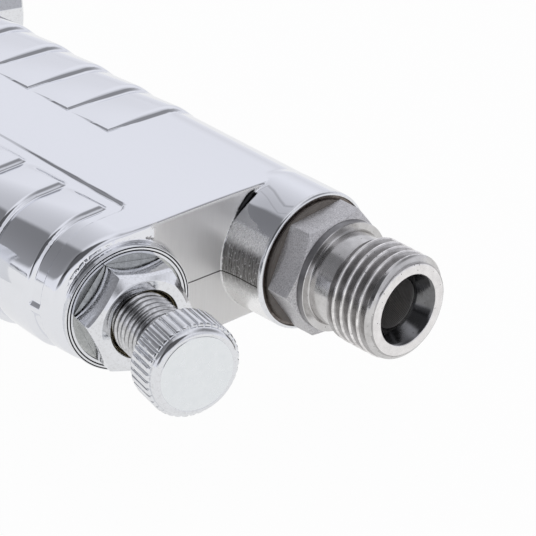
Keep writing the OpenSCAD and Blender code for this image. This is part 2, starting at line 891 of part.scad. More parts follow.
module outlet_adapter() {
  color("silver")
    at_head()
      difference() {
        union() {
          bar(outlet_thread_r, barrel_front - outlet_bore_depth + 1, barrel_front + 1.1);
          hexagon(outlet_hex, barrel_front + 1, barrel_front + 7, outlet_hex / 2, outlet_hex / 2 - 0.2, 15);
          bar(5.6, barrel_front + 7 - eps, barrel_front + 12);
        }
        bar(air_r, barrel_front - 20, barrel_front + 20);
        bar(tube_r + seat_gap, tube_start, barrel_front + 13);
      }
}

module outlet_washer() {
  color("dimgray") at_head() ring(7, outlet_thread_r + 0.1, barrel_front, barrel_front + 1);
}

module stem_tube() {
  color("gainsboro")
    at_head()
      ring(tube_r, tube_r - 1.2, tube_start + 0.02, tube_end);
}

// Union nut at the chuck's end of the tube
module tube_nut() {
  color("silver")
    at_head()
      difference() {
        union() {
          hexagon(outlet_hex, chuck_neck_start - tube_nut_length, chuck_neck_start,
                  outlet_hex / 2 - 0.3, outlet_hex / 2 - 0.2, 15);
          bar(chuck_neck_r, chuck_neck_start - tube_nut_length - 3, chuck_neck_start - tube_nut_length + eps);
        }
        bar(tube_r + seat_gap, chuck_neck_start - 20, tube_end);
      }
}

// Chuck --------------------------------------------------------------------------

// Bores of one chuck head, from the hub out to the spigot's end
module chuck_head_bore() {
  bar(chuck_bore_r, chuck_bore_back, spigot_end + 1);
  bar(1.5, 0, chuck_bore_back + 1);
}

module chuck_head_outside() {
  turned([[0, 0], [0, 7], [2, 7.6], [cap_start - 0.4, 7.6], [cap_start - 0.1, 7.3], [cap_start - 0.1, spigot_r],
          [spigot_end - 0.6, spigot_r], [spigot_end, spigot_r - 0.6], [spigot_end, 0]]);
}

// Hub with the two heads, bored through to the tube
module chuck_body() {
  color("silver")
    difference() {
      union() {
        at_head() {
          bar(chuck_neck_r, chuck_neck_start, chuck_x);
          translate([chuck_x, 0, 0]) sphere(r = 7.6);
        }
        at_front_chuck() chuck_head_outside();
        at_rear_chuck() chuck_head_outside();
      }
      at_head() {
        bar(tube_r + seat_gap, chuck_neck_start - 1, tube_end + seat_gap);
        bar(tube_r - 1.2, tube_end - 1, chuck_x);
      }
      at_front_chuck() chuck_head_bore();
      at_rear_chuck() chuck_head_bore();
    }
}

module chuck_cap() {
  color("silver")
    difference() {
      turned([
        [cap_start, 0], [cap_start, cap_r - 0.5], [cap_start + 0.5, cap_r], [cap_end - 2.4, cap_r],
        [cap_end, cap_r - 1.8], [cap_end, 0]
      ]);
      bar(spigot_r + seat_gap, cap_start - 1, spigot_end + seal_t);
      bar(chuck_mouth_d / 2, 0, cap_end + 1);
    }
}

module chuck_seal() {
  color("black") ring(spigot_r - 0.1, 2, spigot_end + 0.02, spigot_end + seal_t - 0.02);
}

// Depressor pin: presses a tire valve's core, and slides back when pushed
module depressor() {
  color("goldenrod")
    turned([
      [flange_back, 0], [flange_back, flange_r], [flange_back + flange_t, flange_r],
      [flange_back + flange_t, depressor_r], [spigot_end + seal_t - 0.4, depressor_r],
      [spigot_end + seal_t, depressor_r - 0.4], [spigot_end + seal_t, 0]
    ]);
}

module chuck_spring() {
  color("darkgray") spring(2.6, 0.5, chuck_bore_back + 0.05, flange_back - 0.05, 4);
}

module front_chuck_cap() { at_front_chuck() chuck_cap(); }
module front_chuck_seal() { at_front_chuck() chuck_seal(); }
module front_depressor() { at_front_chuck() depressor(); }
module front_chuck_spring() { at_front_chuck() chuck_spring(); }
module rear_chuck_cap() { at_rear_chuck() chuck_cap(); }
module rear_chuck_seal() { at_rear_chuck() chuck_seal(); }
module rear_depressor() { at_rear_chuck() depressor(); }
module rear_chuck_spring() { at_rear_chuck() chuck_spring(); }

// Gauge --------------------------------------------------------------------------

// Distance from the gauge's centre to the barrel boss's face
function boss_top() = gauge_rise - 15;

module gauge_washer() {
  color("dimgray")
    at_gauge()
      translate([0, boss_top() - 1, 0])
        rotate([-90, 0, 0])
          difference() {
            cylinder(r = 7, h = 1);
            translate([0, 0, -1]) cylinder(r = outlet_thread_r + 0.1, h = 3);
          }
}

// Foot of the gauge: thread, hexagon, neck, and the block that carries the movement
module gauge_socket() {
  hex_t = 4.6;
  color("goldenrod")
    at_gauge()
      difference() {
        union() {
          translate([0, boss_top() - 1.01, 0])
            rotate([-90, 0, 0]) cylinder(r = outlet_thread_r, h = 10);
          translate([0, boss_top() - 1 - hex_t, 0])
            rotate([0, 0, 90]) hexagon(socket_hex, 0, hex_t, socket_hex / 2 - 0.2, socket_hex / 2 - 0.2, 10);
          translate([0, 16, 0]) rotate([-90, 0, 0]) cylinder(r = 4.6, h = boss_top() - 19);
          translate([-5, 12.5, -6]) cube([10, 7.5, 11]);
        }
        translate([0, 22, 0]) rotate([-90, 0, 0]) cylinder(r = 1.5, h = 40);
      }
}

module gauge_case() {
  color("dimgray")
    at_gauge()
      difference() {
        translate([0, 0, case_back]) cylinder(r = case_r, h = gauge_depth - lens_t);
        translate([0, 0, case_back + case_wall]) cylinder(r = case_r - case_wall, h = gauge_depth);
        rotate([-90, 0, 0]) cylinder(r = 4.8, h = 40);
      }
}

module gauge_bezel() {
  outer = case_r + bezel_wall;
  color("silver")
    at_gauge()
      difference() {
        translate([0, 0, lens_front - bezel_depth])
          rotate_extrude()
            polygon([[0, 0], [outer, 0], [outer, bezel_depth - 0.6], [outer - 1, bezel_depth + 0.8],
                     [case_r - bezel_lip, bezel_depth + 0.8], [0, bezel_depth + 0.8]]);
        translate([0, 0, lens_front - bezel_depth - 1])
          cylinder(r = case_r + seat_gap, h = bezel_depth + 1 + 0.02);
        translate([0, 0, lens_front - 1]) cylinder(r = case_r - bezel_lip, h = 5);
      }
}

module gauge_lens() {
  color("lightcyan", 0.35)
    at_gauge()
      translate([0, 0, lens_front - lens_t]) cylinder(r = case_r - 0.1, h = lens_t);
}

module gauge_dial() {
  color("white")
    at_gauge()
      difference() {
        translate([0, 0, dial_z]) cylinder(r = dial_r, h = dial_t);
        translate([0, 0, dial_z - 1]) cylinder(r = 2, h = 3);
        for (p = pillars)
          translate([p[0], p[1], dial_z - 1]) cylinder(r = 0.9, h = 3);
      }
}

module dial_screws() {
  color("gray")
    at_gauge()
      for (p = pillars)
        translate([p[0], p[1], 0]) {
          translate([0, 0, dial_z + dial_t]) cylinder(r = 1.5, h = dial_screw_head);
          translate([0, 0, plate_top]) cylinder(r = 0.8, h = dial_z + dial_t - plate_top + eps);
        }
}

module gauge_pointer() {
  color("black")
    at_gauge()
      rotate([0, 0, pointer_rest])
        translate([0, 0, pointer_z])
          difference() {
            union() {
              linear_extrude(0.5)
                polygon([[-6, -1.3], [0, -1.1], [17, -0.25], [17.6, 0], [17, 0.25], [0, 1.1], [-6, 1.3]]);
              cylinder(r = 1.8, h = pointer_hub);
            }
            translate([0, 0, -1]) cylinder(r = arbor_r + seat_gap, h = pointer_hub + 0.6);
          }
}

// Outline of a gear with straight-sided teeth, standing on its root circle
module gear_outline(teeth, first, last) {
  pitch_r = teeth * gear_module / 2;
  root_r = pitch_r - 1.25 * gear_module;
  tip_r = pitch_r + 0.8 * gear_module;
  step = 360 / teeth;
  for (i = [first : last])
    rotate(i * step)
      polygon([
        [root_r - 0.2, -0.22 * step * PI / 180 * root_r], [tip_r, -0.08 * step * PI / 180 * tip_r],
        [tip_r, 0.08 * step * PI / 180 * tip_r], [root_r - 0.2, 0.22 * step * PI / 180 * root_r]
      ]);
}

module pinion_arbor() {
  color("goldenrod")
    at_gauge() {
      translate([0, 0, -plate_top - 0.1])
        cylinder(r = arbor_r, h = plate_top + 0.1 + pointer_z + pointer_hub - 0.4);
      rotate([0, 0, sector_angle + 180 / pinion_teeth])
        translate([0, 0, -1])
          linear_extrude(2)
            union() {
              circle(r = pinion_r - 1.25 * gear_module);
              gear_outline(pinion_teeth, 0, pinion_teeth - 1);
            }
    }
}

module at_sector() {
  rotate([0, 0, sector_angle]) translate([gear_distance, 0, 0]) children();
}

// Toothed sector on its arbor, with a tail for the link. At rest the teeth at one
// end of the arc are in mesh.
module sector_gear() {
  span = 9;
  root_r = sector_r - 1.25 * gear_module;
  spread = 360 / sector_teeth;
  color("goldenrod")
    at_gauge()
      at_sector() {
        translate([0, 0, -plate_top - 0.1]) cylinder(r = arbor_r, h = 2 * plate_top + 0.2);
        translate([0, 0, -0.5])
          linear_extrude(1)
            union() {
              circle(r = 1.7);
              rotate(180) {
                polygon(concat([[0, 0]], arc(0, 0, root_r, -(span + 1.5) * spread, 1.5 * spread, 10)));
                gear_outline(sector_teeth, -(span + 1), 1);
              }
              rotate(sector_tail) translate([0, -0.9]) square([tail_r, 1.8]);
              rotate(sector_tail) translate([tail_r, 0]) circle(r = 1.2);
            }
        rotate([0, 0, sector_tail]) translate([tail_r, 0, 0.49]) cylinder(r = 0.5, h = 1.6);
      }
}

// Two plates on pillars that carry both arbors
module movement_plates() {
  color("goldenrod")
    at_gauge()
      difference() {
        union() {
          for (z = [-plate_top, plate_top - plate_t])
            translate([0, 0, z])
              linear_extrude(plate_t)
                polygon([[-12.8, -4.8], [9.5, -8.3], [11.3, -6.5], [12, 12.5], [-4.8, 12.5], [-12.8, -1]]);
          for (p = pillars)
            translate([p[0], p[1], -plate_top + eps]) cylinder(r = 1.4, h = 2 * plate_top - 2 * eps);
        }
        translate([0, 0, -5]) cylinder(r = arbor_r + run_gap, h = 10);
        at_sector() translate([0, 0, -5]) cylinder(r = arbor_r + run_gap, h = 10);
      }
}

// C-shaped tube from the socket block round to its closed tip
module bourdon_tube() {
  tip_angle = -20;
  color("goldenrod")
    at_gauge() {
      translate([0, 0, -5])
        rotate([0, 0, 100])
          rotate_extrude(angle = 260 + tip_angle)
            translate([coil_r - coil_t / 2, 0]) square([coil_t, coil_depth]);
      rotate([0, 0, tip_angle])
        translate([coil_r - coil_t / 2 - 2.4, -1.2, -0.5]) cube([3, 2.4, 1]);
    }
}

// Link from the tube's tip to the sector's tail
module tube_link() {
  color("silver")
    at_gauge()
      at_sector()
        rotate([0, 0, sector_tail])
          translate([tail_r, 0, 0.7])
            rotate([0, 0, -sector_tail - sector_angle])
              difference() {
                linear_extrude(0.5)
                  union() {
                    circle(r = 1.1);
                    translate([-0.6, -12]) square([1.2, 12]);
                  }
                translate([0, 0, -1]) cylinder(r = 0.5 + run_gap, h = 3);
              }
}

module gauge_boot() {
  r = case_r + bezel_wall;
  color("darkslategray")
    at_gauge()
      difference() {
        translate([0, 0, case_back - 1.5])
          rotate_extrude()
            polygon(concat(
              [[0, 0]], arc(r + boot_t - 2, 2, 2, 270, 360),
              [[r + boot_t, 9], [r + boot_t - 1, 10], [r + boot_t - 1, 13], [r + boot_t, 14]],
              arc(r + boot_t - 1.5, gauge_depth - 1, 1.5, 0, 90), [[0, gauge_depth + 0.5]]
            ));
        translate([0, 0, case_back]) cylinder(r = case_r + 0.05, h = gauge_depth);
        translate([0, 0, lens_front - bezel_depth - 0.05]) cylinder(r = r + 0.05, h = gauge_depth);
        translate([0, 0, case_back - 3]) cylinder(r = case_r - 5, h = gauge_depth);
        rotate([-90, 0, 0]) cylinder(r = corner_radius(socket_hex) + 0.5, h = 60);
      }
}

// Shown pieces -------------------------------------------------------------------

gun_body();
inlet_nipple();
inlet_washer();
inlet_strainer();
gland_nut();
flow_screw();
flow_knob();
flow_o_ring();
valve_seat();
valve_stem();
valve_disc();
valve_spring();
valve_plug();
plug_o_ring();
packing_nut();
stem_packing();
trigger();
trigger_pin();
pin_clips();
bleed_sleeve();
bleed_button();
bleed_spring();
bleed_seal();
outlet_adapter();
outlet_washer();
stem_tube();
tube_nut();
chuck_body();
front_chuck_cap();
front_chuck_seal();
front_depressor();
front_chuck_spring();
rear_chuck_cap();
rear_chuck_seal();
rear_depressor();
rear_chuck_spring();
gauge_socket();
gauge_washer();
gauge_case();
gauge_bezel();
gauge_lens();
gauge_dial();
dial_screws();
gauge_pointer();
pinion_arbor();
sector_gear();
movement_plates();
bourdon_tube();
tube_link();
gauge_boot();
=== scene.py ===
"""Dresses the pistol-grip tire inflator: a plated casting with flowing edges, cut threads,
a ridged knob, eased turned parts, a marked dial, finishes for every piece, and a white studio."""

import math

import bmesh
import bpy
import numpy as np
from mathutils import Matrix, Vector


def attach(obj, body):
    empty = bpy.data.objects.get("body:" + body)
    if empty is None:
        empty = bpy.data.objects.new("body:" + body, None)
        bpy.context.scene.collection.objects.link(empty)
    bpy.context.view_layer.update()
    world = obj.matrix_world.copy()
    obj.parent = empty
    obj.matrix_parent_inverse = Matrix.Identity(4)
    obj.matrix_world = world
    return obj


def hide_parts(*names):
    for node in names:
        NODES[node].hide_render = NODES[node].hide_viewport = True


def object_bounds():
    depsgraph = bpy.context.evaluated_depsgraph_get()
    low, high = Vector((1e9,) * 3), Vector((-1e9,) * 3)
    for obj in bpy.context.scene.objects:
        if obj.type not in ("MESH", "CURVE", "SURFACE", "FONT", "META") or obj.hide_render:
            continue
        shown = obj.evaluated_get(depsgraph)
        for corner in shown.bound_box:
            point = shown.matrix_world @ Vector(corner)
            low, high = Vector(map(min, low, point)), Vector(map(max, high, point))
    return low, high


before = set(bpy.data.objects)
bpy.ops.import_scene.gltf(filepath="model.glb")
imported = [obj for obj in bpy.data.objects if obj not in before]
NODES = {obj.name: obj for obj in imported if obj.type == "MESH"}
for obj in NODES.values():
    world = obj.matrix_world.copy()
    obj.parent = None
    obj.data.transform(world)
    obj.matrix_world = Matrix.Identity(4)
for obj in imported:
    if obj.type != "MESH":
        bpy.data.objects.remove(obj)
cad_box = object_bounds()
MM = 0.001
MERGE = 4e-7

# Places and sizes on the gun, in millimetres

BUTT_X = -22.2
GRIP_R = 8.7
INLET_EDGE_Y = 0.3
KNOB_EDGE_Y = -24.1
INLET_TAPER = math.tan(math.radians(1.0))
KNOB_TAPER = math.tan(math.radians(1.4))
GRIP_LENGTH = 106.0
INLET_PAD_START = 21.66
INLET_PAD_PITCH = 7.6
KNOB_PAD_START = 7.0
KNOB_PAD_PITCH = 7.5

BOSS_FACE_X = -15.75
RIM_BACK_X = -16.2
SEAL_R = 7.8
BOSS_R = 8.68
THREAD_R = 6.58
THREAD_PITCH = 1.337
NIPPLE_TURN = 6.3
GLAND_TURN = 56.4
CHAMFER_SLOPE = math.tan(math.radians(30))
FLOW_FACE = (-21.5, -24.2, -0.7)
FLOW_TILT = -14.6
FLOW_BOSS_R = 7.95
KNOB_REACH = 17.0
KNOB_BACK = 11.95

HEAD = (-128.2, -11.9, 0.0)
HEAD_TURN = 255.0
BARREL_R = 11.0
MUZZLE_R = 9.0
GAUGE_RISE = 49.0
DIAL_FRONT = 6.1


def placed(at, turn):
    """Frame at a point, in millimetres, turned about Z by degrees."""
    return Matrix.Translation(Vector(at)) @ Matrix.Rotation(math.radians(turn), 4, "Z")


def in_metres(place):
    """The same frame, its place in metres."""
    made = place.copy()
    made.translation *= MM
    return made


def added(name, data):
    """New object in the scene."""
    obj = bpy.data.objects.new(name, data)
    bpy.context.scene.collection.objects.link(obj)
    return obj


def evaluated(host):
    """Plain mesh of an object as its modifiers leave it; the object goes."""
    mesh = bpy.data.meshes.new_from_object(host.evaluated_get(bpy.context.evaluated_depsgraph_get()))
    bpy.data.objects.remove(host)
    return mesh


def mesh_of(name, points, faces):
    """Mesh whose points are given in millimetres."""
    mesh = bpy.data.meshes.new(name)
    mesh.from_pydata((np.asarray(points) * MM).tolist(), [], faces)
    return mesh


def cover(mesh, material):
    mesh.materials.clear()
    mesh.materials.append(material)


AT_INLET = Matrix.Identity(4)
AT_FLOW = placed(FLOW_FACE, FLOW_TILT)
AT_HEAD = placed(HEAD, HEAD_TURN)
AT_VALVE = AT_HEAD @ Matrix.Translation((0, 22, 0))
AT_GAUGE = AT_HEAD @ Matrix.Translation((0, -GAUGE_RISE, 0))


# Camera


def place_camera():
    right = Vector((0.685837, 0.726355, 0.045123))
    up = Vector((-0.362475, 0.287174, 0.886647))
    back = Vector((0.631063, -0.624451, 0.460240))
    lens = bpy.data.cameras.new("studio_camera")
    lens.sensor_width = 36
    lens.lens = 268.657
    camera = added("studio_camera", lens)
    turn = Matrix((right, up, back)).transposed().to_4x4()
    camera.matrix_world = Matrix.Translation((0.278638, -0.298892, 0.216230)) @ turn
    bpy.context.scene.camera = camera


# Finishes


def add_node(tree, kind, inputs=(), **settings):
    """New node in a tree: first its settings, then its inputs, each a value or the socket that feeds it."""
    made = tree.nodes.new(kind)
    for name, value in settings.items():
        setattr(made, name, value)
    for name, value in dict(inputs).items():
        if isinstance(value, bpy.types.NodeSocket):
            tree.links.new(value, made.inputs[name])
        else:
            made.inputs[name].default_value = value
    return made


def math_node(tree, kind, *values):
    return add_node(tree, "ShaderNodeMath", enumerate(values), operation=kind).outputs[0]


class Finish:
    """A principled material with helpers that wire its nodes."""

    def __init__(self, name, colour, metal, rough, **sockets):
        self.material = bpy.data.materials.new(name)
        self.material.use_nodes = True
        self.tree = self.material.node_tree
        self.shader = self.tree.nodes["Principled BSDF"]
        sockets.update(Base_Color=(*colour, 1), Metallic=metal, Roughness=rough)
        for socket, value in sockets.items():
            self.shader.inputs[socket.replace("_", " ")].default_value = value
        self.place = self.node("ShaderNodeTexCoord").outputs["Object"]
        self.height = None

    def node(self, kind, inputs=(), **settings):
        return add_node(self.tree, kind, inputs, **settings)

    def join(self, value, socket):
        self.tree.links.new(value, self.shader.inputs[socket])

    def roughness(self, value):
        self.join(value, "Roughness")

    def colour(self, value):
        self.join(value, "Base Color")

    def noise(self, scale, detail=3, stretch=(1, 1, 1), rough=0.5):
        """Noise value; scale is in features per metre, stretch squeezes it per axis."""
        squeezed = self.node("ShaderNodeMapping", {"Vector": self.place, "Scale": stretch}).outputs["Vector"]
        inputs = {"Vector": squeezed, "Scale": scale, "Detail": detail, "Roughness": rough}
        return self.node("ShaderNodeTexNoise", inputs).outputs["Fac"]

    def speckle(self, scale, size, soft):
        """1 in small spots round scattered points, else 0."""
        cells = self.node("ShaderNodeTexVoronoi", {"Vector": self.place, "Scale": scale})
        return self.span(cells.outputs["Distance"], size + soft, size)

    def span(self, value, low=0.3, high=0.7, to_low=0, to_high=1):
        """Clamped change of range."""
        inputs = {"Value": value, "From Min": low, "From Max": high, "To Min": to_low, "To Max": to_high}
        return self.node("ShaderNodeMapRange", inputs).outputs["Result"]

    def calc(self, kind, *values):
        return math_node(self.tree, kind, *values)

    def times(self, first, second):
        return self.calc("MULTIPLY", first, second)

    def most(self, first, *others):
        """Largest of some values."""
        for value in others:
            first = self.calc("MAXIMUM", first, value)
        return first

    def blend(self, amount, first, second):
        """Mix of two colours, each a colour or a socket."""
        first, second = [(*c, 1) if isinstance(c, tuple) else c for c in (first, second)]
        return self.node("ShaderNodeMix", {0: amount, 6: first, 7: second}, data_type="RGBA").outputs[2]

    def wander(self, first, second, scale, detail=3, rough=0.5, low=0.3, high=0.7):
        """Drift over the surface between two colours or two numbers."""
        drift = self.noise(scale, detail, rough=rough)
        if isinstance(first, tuple):
            return self.blend(self.span(drift, low, high), first, second)
        return self.span(drift, low, high, first, second)

    def attribute(self, name):
        return self.node("ShaderNodeAttribute", attribute_name=name).outputs["Fac"]

    def axis(self, name):
        return self.node("ShaderNodeSeparateXYZ", {"Vector": self.place}).outputs[name]

    def bump(self, value, strength, depth):
        """Adds relief; depth is in metres."""
        inputs = {"Height": value, "Strength": strength, "Distance": depth}
        if self.height:
            inputs["Normal"] = self.height
        self.height = self.node("ShaderNodeBump", inputs).outputs["Normal"]
        self.join(self.height, "Normal")


def casting_chrome():
    """Bright plate on the casting; satin, brushed and duller where the attributes say so, with painted shade
    in the undercut crease, along the boss's facet lines and in a dark band low on its knob side, and a
    painted highlight band with glints above that band.
    """
    f = Finish("casting_chrome", (0.84, 0.85, 0.88), 1, 0.05)
    names = ("satin", "brushed", "corner", "seam", "facet", "polish_and_highlight", "dark_band_shade", "matt")
    satin, brushed, corner, seam, facet, polish_and_highlight, dark_band_shade, matt = (f.attribute(name) for name in names)
    grain = f.noise(5200, rough=0.6)
    drag = f.noise(700, stretch=(1, 9, 0.5))
    rub = f.noise(620, stretch=(10, 0.7, 0.7))
    glint = f.noise(3600, 2, stretch=(1, 0.6, 0.6), rough=0.7)

    worn = f.times(satin, f.span(drag, 0.3, 0.7, 0.30, 0.42))
    lined = f.times(brushed, f.span(rub, 0.3, 0.7, 0.16, 0.34))
    lined = f.times(lined, f.span(polish_and_highlight, 0, 1, 1, 0.25))
    f.roughness(f.most(f.wander(0.03, 0.075, 160, 2), worn, lined, f.times(corner, 0.30)))
    # Diffuse white where the recess is matt, and as a painted highlight in the bright band on the boss,
    # flecked by the glint noise.
    milky = f.most(matt, f.times(polish_and_highlight, f.span(glint, 0.42, 0.58, 0.25, 0.8)))
    f.join(f.calc("SUBTRACT", 1.0, milky), "Metallic")

    # Painted shade: dark lines along the boss's facet edge and 1.2 mm from it, and a slight darkening on one
    # side.
    border = f.span(f.calc("ABSOLUTE", facet), 0.02, 0.30, 0.45, 0)
    second = f.calc("ABSOLUTE", f.calc("SUBTRACT", facet, 1.2))
    facet_line_shade = f.most(border, f.span(facet, 0, 0.4, 0, 0.10), f.span(second, 0.02, 0.22, 0.30, 0))
    plate = f.blend(facet_line_shade, (0.84, 0.85, 0.88), (0.25, 0.25, 0.26))
    bare = f.blend(drag, (0.90, 0.885, 0.86), (0.99, 0.98, 0.955))
    # Painted shade: the dark band low on the boss's knob side, streaked along the rub noise, with painted
    # glints as light specks in it.
    shaded_band_colour = f.blend(f.span(rub), (0.10, 0.097, 0.093), (0.36, 0.355, 0.35))
    shaded_band_colour = f.blend(f.span(glint, 0.58, 0.72, 0, 0.75), shaded_band_colour, (0.9, 0.9, 0.9))
    dark = f.span(f.calc("ADD", dark_band_shade, f.times(glint, 0.9)), 0.48, 1.2)
    tint = f.blend(brushed, f.blend(satin, plate, bare), f.blend(dark, (0.97, 0.97, 0.97), shaded_band_colour))
    # Painted shade: near black in the undercut crease where the boss meets the butt.
    tint = f.blend(f.span(corner, 0.15, 0.85), tint, (0.03, 0.03, 0.031))
    height = f.calc("ADD", f.axis("Z"), f.times(f.noise(400, 1), 0.00010))
    from_seam = f.calc("ABSOLUTE", f.calc("ADD", height, 0.00090))
    line = f.times(seam, f.span(from_seam, 0.00011, 0.00005))
    f.colour(f.blend(line, tint, (0.03, 0.027, 0.024)))

    f.bump(f.times(grain, satin), 0.25, 0.00003)
    f.bump(f.times(rub, brushed), 0.35, 0.00004)
    f.bump(f.times(glint, brushed), 0.30, 0.00003)
    f.bump(f.times(glint, polish_and_highlight), 0.8, 0.00006)
    f.bump(f.noise(2400, 2), 0.05, 0.00002)
    return f.material


def bright_chrome():
    f = Finish("bright_chrome", (0.80, 0.81, 0.83), 1, 0.07)
    f.roughness(f.wander(0.04, 0.12, 500, 4, low=0.35))
    f.colour(f.wander((0.81, 0.82, 0.84), (0.68, 0.68, 0.69), 2600, 4, 0.7, 0.5, 0.75))
    f.bump(f.noise(4200), 0.10, 0.00002)
    return f.material


def dark_chrome(name, bright, dull, rough):
    """Thin plate on a cut thread or in a seat, where the polish doesn't reach; darker copies of it are
    painted shade in thread roots and grooves.
    """
    f = Finish(name, bright, 1, rough)
    f.colour(f.wander(bright, dull, 2200, 5, 0.7, 0.35))
    f.roughness(f.wander(rough - 0.06, rough + 0.10, 1500))
    f.bump(f.noise(5000), 0.15, 0.00002)
    return f.material


def turned_nickel(name, bright=(0.67, 0.66, 0.655), dull=(0.56, 0.55, 0.54), low=0.13, high=0.24):
    """Nickel over turned steel: fine rings from the tool and a few pits."""
    f = Finish(name, bright, 1, 0.2)
    rings = f.noise(1500, 2, stretch=(6, 0.4, 0.4))
    pits = f.speckle(1300, 0.07, 0.03)
    f.colour(f.blend(pits, f.wander(bright, dull, 900, 4, 0.6, 0.35), (0.14, 0.13, 0.125)))
    f.roughness(f.span(rings, 0.3, 0.7, low, high))
    f.bump(rings, 0.10, 0.00002)
    f.bump(f.calc("SUBTRACT", 1.0, pits), 0.4, 0.00003)
    return f.material


def milled_nickel():
    """Satin, finely grained flats of the nipple's hexagon."""
    f = Finish("milled_nickel", (0.68, 0.67, 0.675), 0.6, 0.3)
    grain = f.noise(6500, rough=0.65)
    f.colour(f.blend(f.span(grain), (0.42, 0.41, 0.415), (0.88, 0.87, 0.875)))
    f.roughness(f.wander(0.34, 0.48, 2500))
    f.bump(grain, 0.30, 0.00003)
    return f.material


def milled_chrome():
    """Chrome over milled flats, so that what they mirror is blurred."""
    f = Finish("milled_chrome", (0.80, 0.81, 0.84), 1, 0.22)
    grain = f.noise(3800, rough=0.7)
    f.colour(f.blend(f.span(grain, 0.35), (0.70, 0.71, 0.73), (0.90, 0.91, 0.94)))
    f.roughness(f.wander(0.08, 0.18, 900))
    f.bump(grain, 0.16, 0.00003)
    return f.material


def bored_nickel():
    """Dark bore with the fine rings that the boring tool left."""
    f = Finish("bored_nickel", (0.6, 0.59, 0.58), 1, 0.35)
    ring_pitch = 0.00021
    ring = f.calc("SINE", f.times(f.axis("X"), 2 * math.pi / ring_pitch))
    f.colour(f.blend(f.span(ring, -1, 1), (0.40, 0.39, 0.38), (0.86, 0.85, 0.84)))
    f.roughness(f.span(f.noise(1200, 2, stretch=(5, 0.5, 0.5)), 0.3, 0.7, 0.34, 0.5))
    f.bump(ring, 0.4, 0.00003)
    return f.material


def plated_lever():
    f = Finish("plated_lever", (0.82, 0.83, 0.85), 1, 0.07)
    f.roughness(f.wander(0.05, 0.13, 140))
    f.bump(f.noise(700, 2), 0.05, 0.0001)
    return f.material


def satin_plate():
    """Fine satin plate of the knob's face."""
    f = Finish("satin_plate", (0.86, 0.885, 0.90), 1, 0.3)
    f.roughness(f.wander(0.26, 0.36, 1500, 4))
    f.colour(f.blend(f.noise(900, 4), (0.83, 0.86, 0.875), (0.91, 0.93, 0.94)))
    f.bump(f.noise(6000), 0.10, 0.00002)
    return f.material


def worn_brass(name, bright, dull, rough):
    f = Finish(name, bright, 1, rough)
    f.colour(f.wander(bright, dull, 600, 5, 0.65, 0.35))
    f.roughness(f.wander(rough - 0.07, rough + 0.12, 900))
    f.bump(f.noise(1600), 0.1, 0.00004)
    return f.material


def moulded(name, dark, light, rough, grain, depth=0.00008):
    """Rubber, fibre or moulded plastic."""
    f = Finish(name, dark, 0, rough)
    f.colour(f.blend(f.noise(grain * 0.2, 4), dark, light))
    f.roughness(f.wander(rough - 0.1, rough + 0.1, grain * 0.5))
    f.bump(f.noise(grain, 5, rough=0.6), 0.3, depth)
    return f.material


def clear_lens():
    f = Finish("clear_lens", (0.97, 0.99, 1.0), 0, 0.02, Transmission_Weight=1.0, IOR=1.49)
    f.roughness(f.wander(0.005, 0.03, 200, 2))
    return f.material


# Casting


def smooth_step(low, high, value):
    t = np.clip((value - low) / (high - low), 0, 1)
    return t * t * (3 - 2 * t)


def fuse(a, b, fillet):
    """Union of two fields with a concave fillet."""
    h = np.clip(0.5 + 0.5 * (b - a) / fillet, 0, 1)
    return b + (a - b) * h - fillet * h * (1 - h)


def trim(a, b, round_off):
    """Common part of two fields with a rounded edge."""
    return -fuse(-a, -b, round_off)


def local(place, p):
    """Points in a placed frame's own axes."""
    turn = place.inverted()
    return [turn[i][0] * p[0] + turn[i][1] * p[1] + turn[i][2] * p[2] + turn[i][3] for i in range(3)]


def round_bar(q, radius, low, high, rim=0.3):
    """Cylinder along the first axis of q, with rounded ends."""
    side = np.hypot(q[1], q[2]) - radius
    ends = np.maximum(q[0] - high, low - q[0])
    return trim(side, ends, rim)


def hole(q, radius, low, high):
    return np.maximum(np.hypot(q[1], q[2]) - radius, np.maximum(q[0] - high, low - q[0]))


def edge_distance(p):
    """Distance into the grip from the butt, and inwards from the two edges' centre lines."""
    u = BUTT_X - p[0]
    return u, INLET_EDGE_Y + u * INLET_TAPER - p[1], p[1] - KNOB_EDGE_Y + u * KNOB_TAPER


def seam_gap(z):
    """0 on the mould's parting line, 1 away from it."""
    return smooth_step(0.25, 0.9, np.abs(z + 0.85))


def pad_profile(a, wall, length, power, end):
    """One pad, by the distance past its start: up a wall, then down a slope."""
    slope = 1 - np.clip(a / length, 0, 1) ** power
    up = np.clip(a / wall + 0.35, 0, 1)
    return np.sin(up * math.pi / 2) * smooth_step(0, 0.4, up) * (a < end) * slope


def inlet_pads(u, across, turn, z):
    """Shingle pads of the inlet edge: a wall facing the butt, then a slope down to the next."""
    height = np.zeros(np.broadcast(u, across, z).shape)
    crest = 1 - smooth_step(1.5, 8.2, across)
    wall = 0.26 + 1.0 * crest
    rise = (0.26 + 0.34 * crest) * (1 - 0.88 * smooth_step(14, 44, turn))
    inner = 1 - smooth_step(8.57, 8.73, across)
    for i in range(6):
        a = u - INLET_PAD_START - i * INLET_PAD_PITCH
        pad = pad_profile(a, wall, 7.0, 1.15, INLET_PAD_PITCH - 0.35 * wall)
        height = np.maximum(height, pad * rise * inner)
    return height * seam_gap(z)


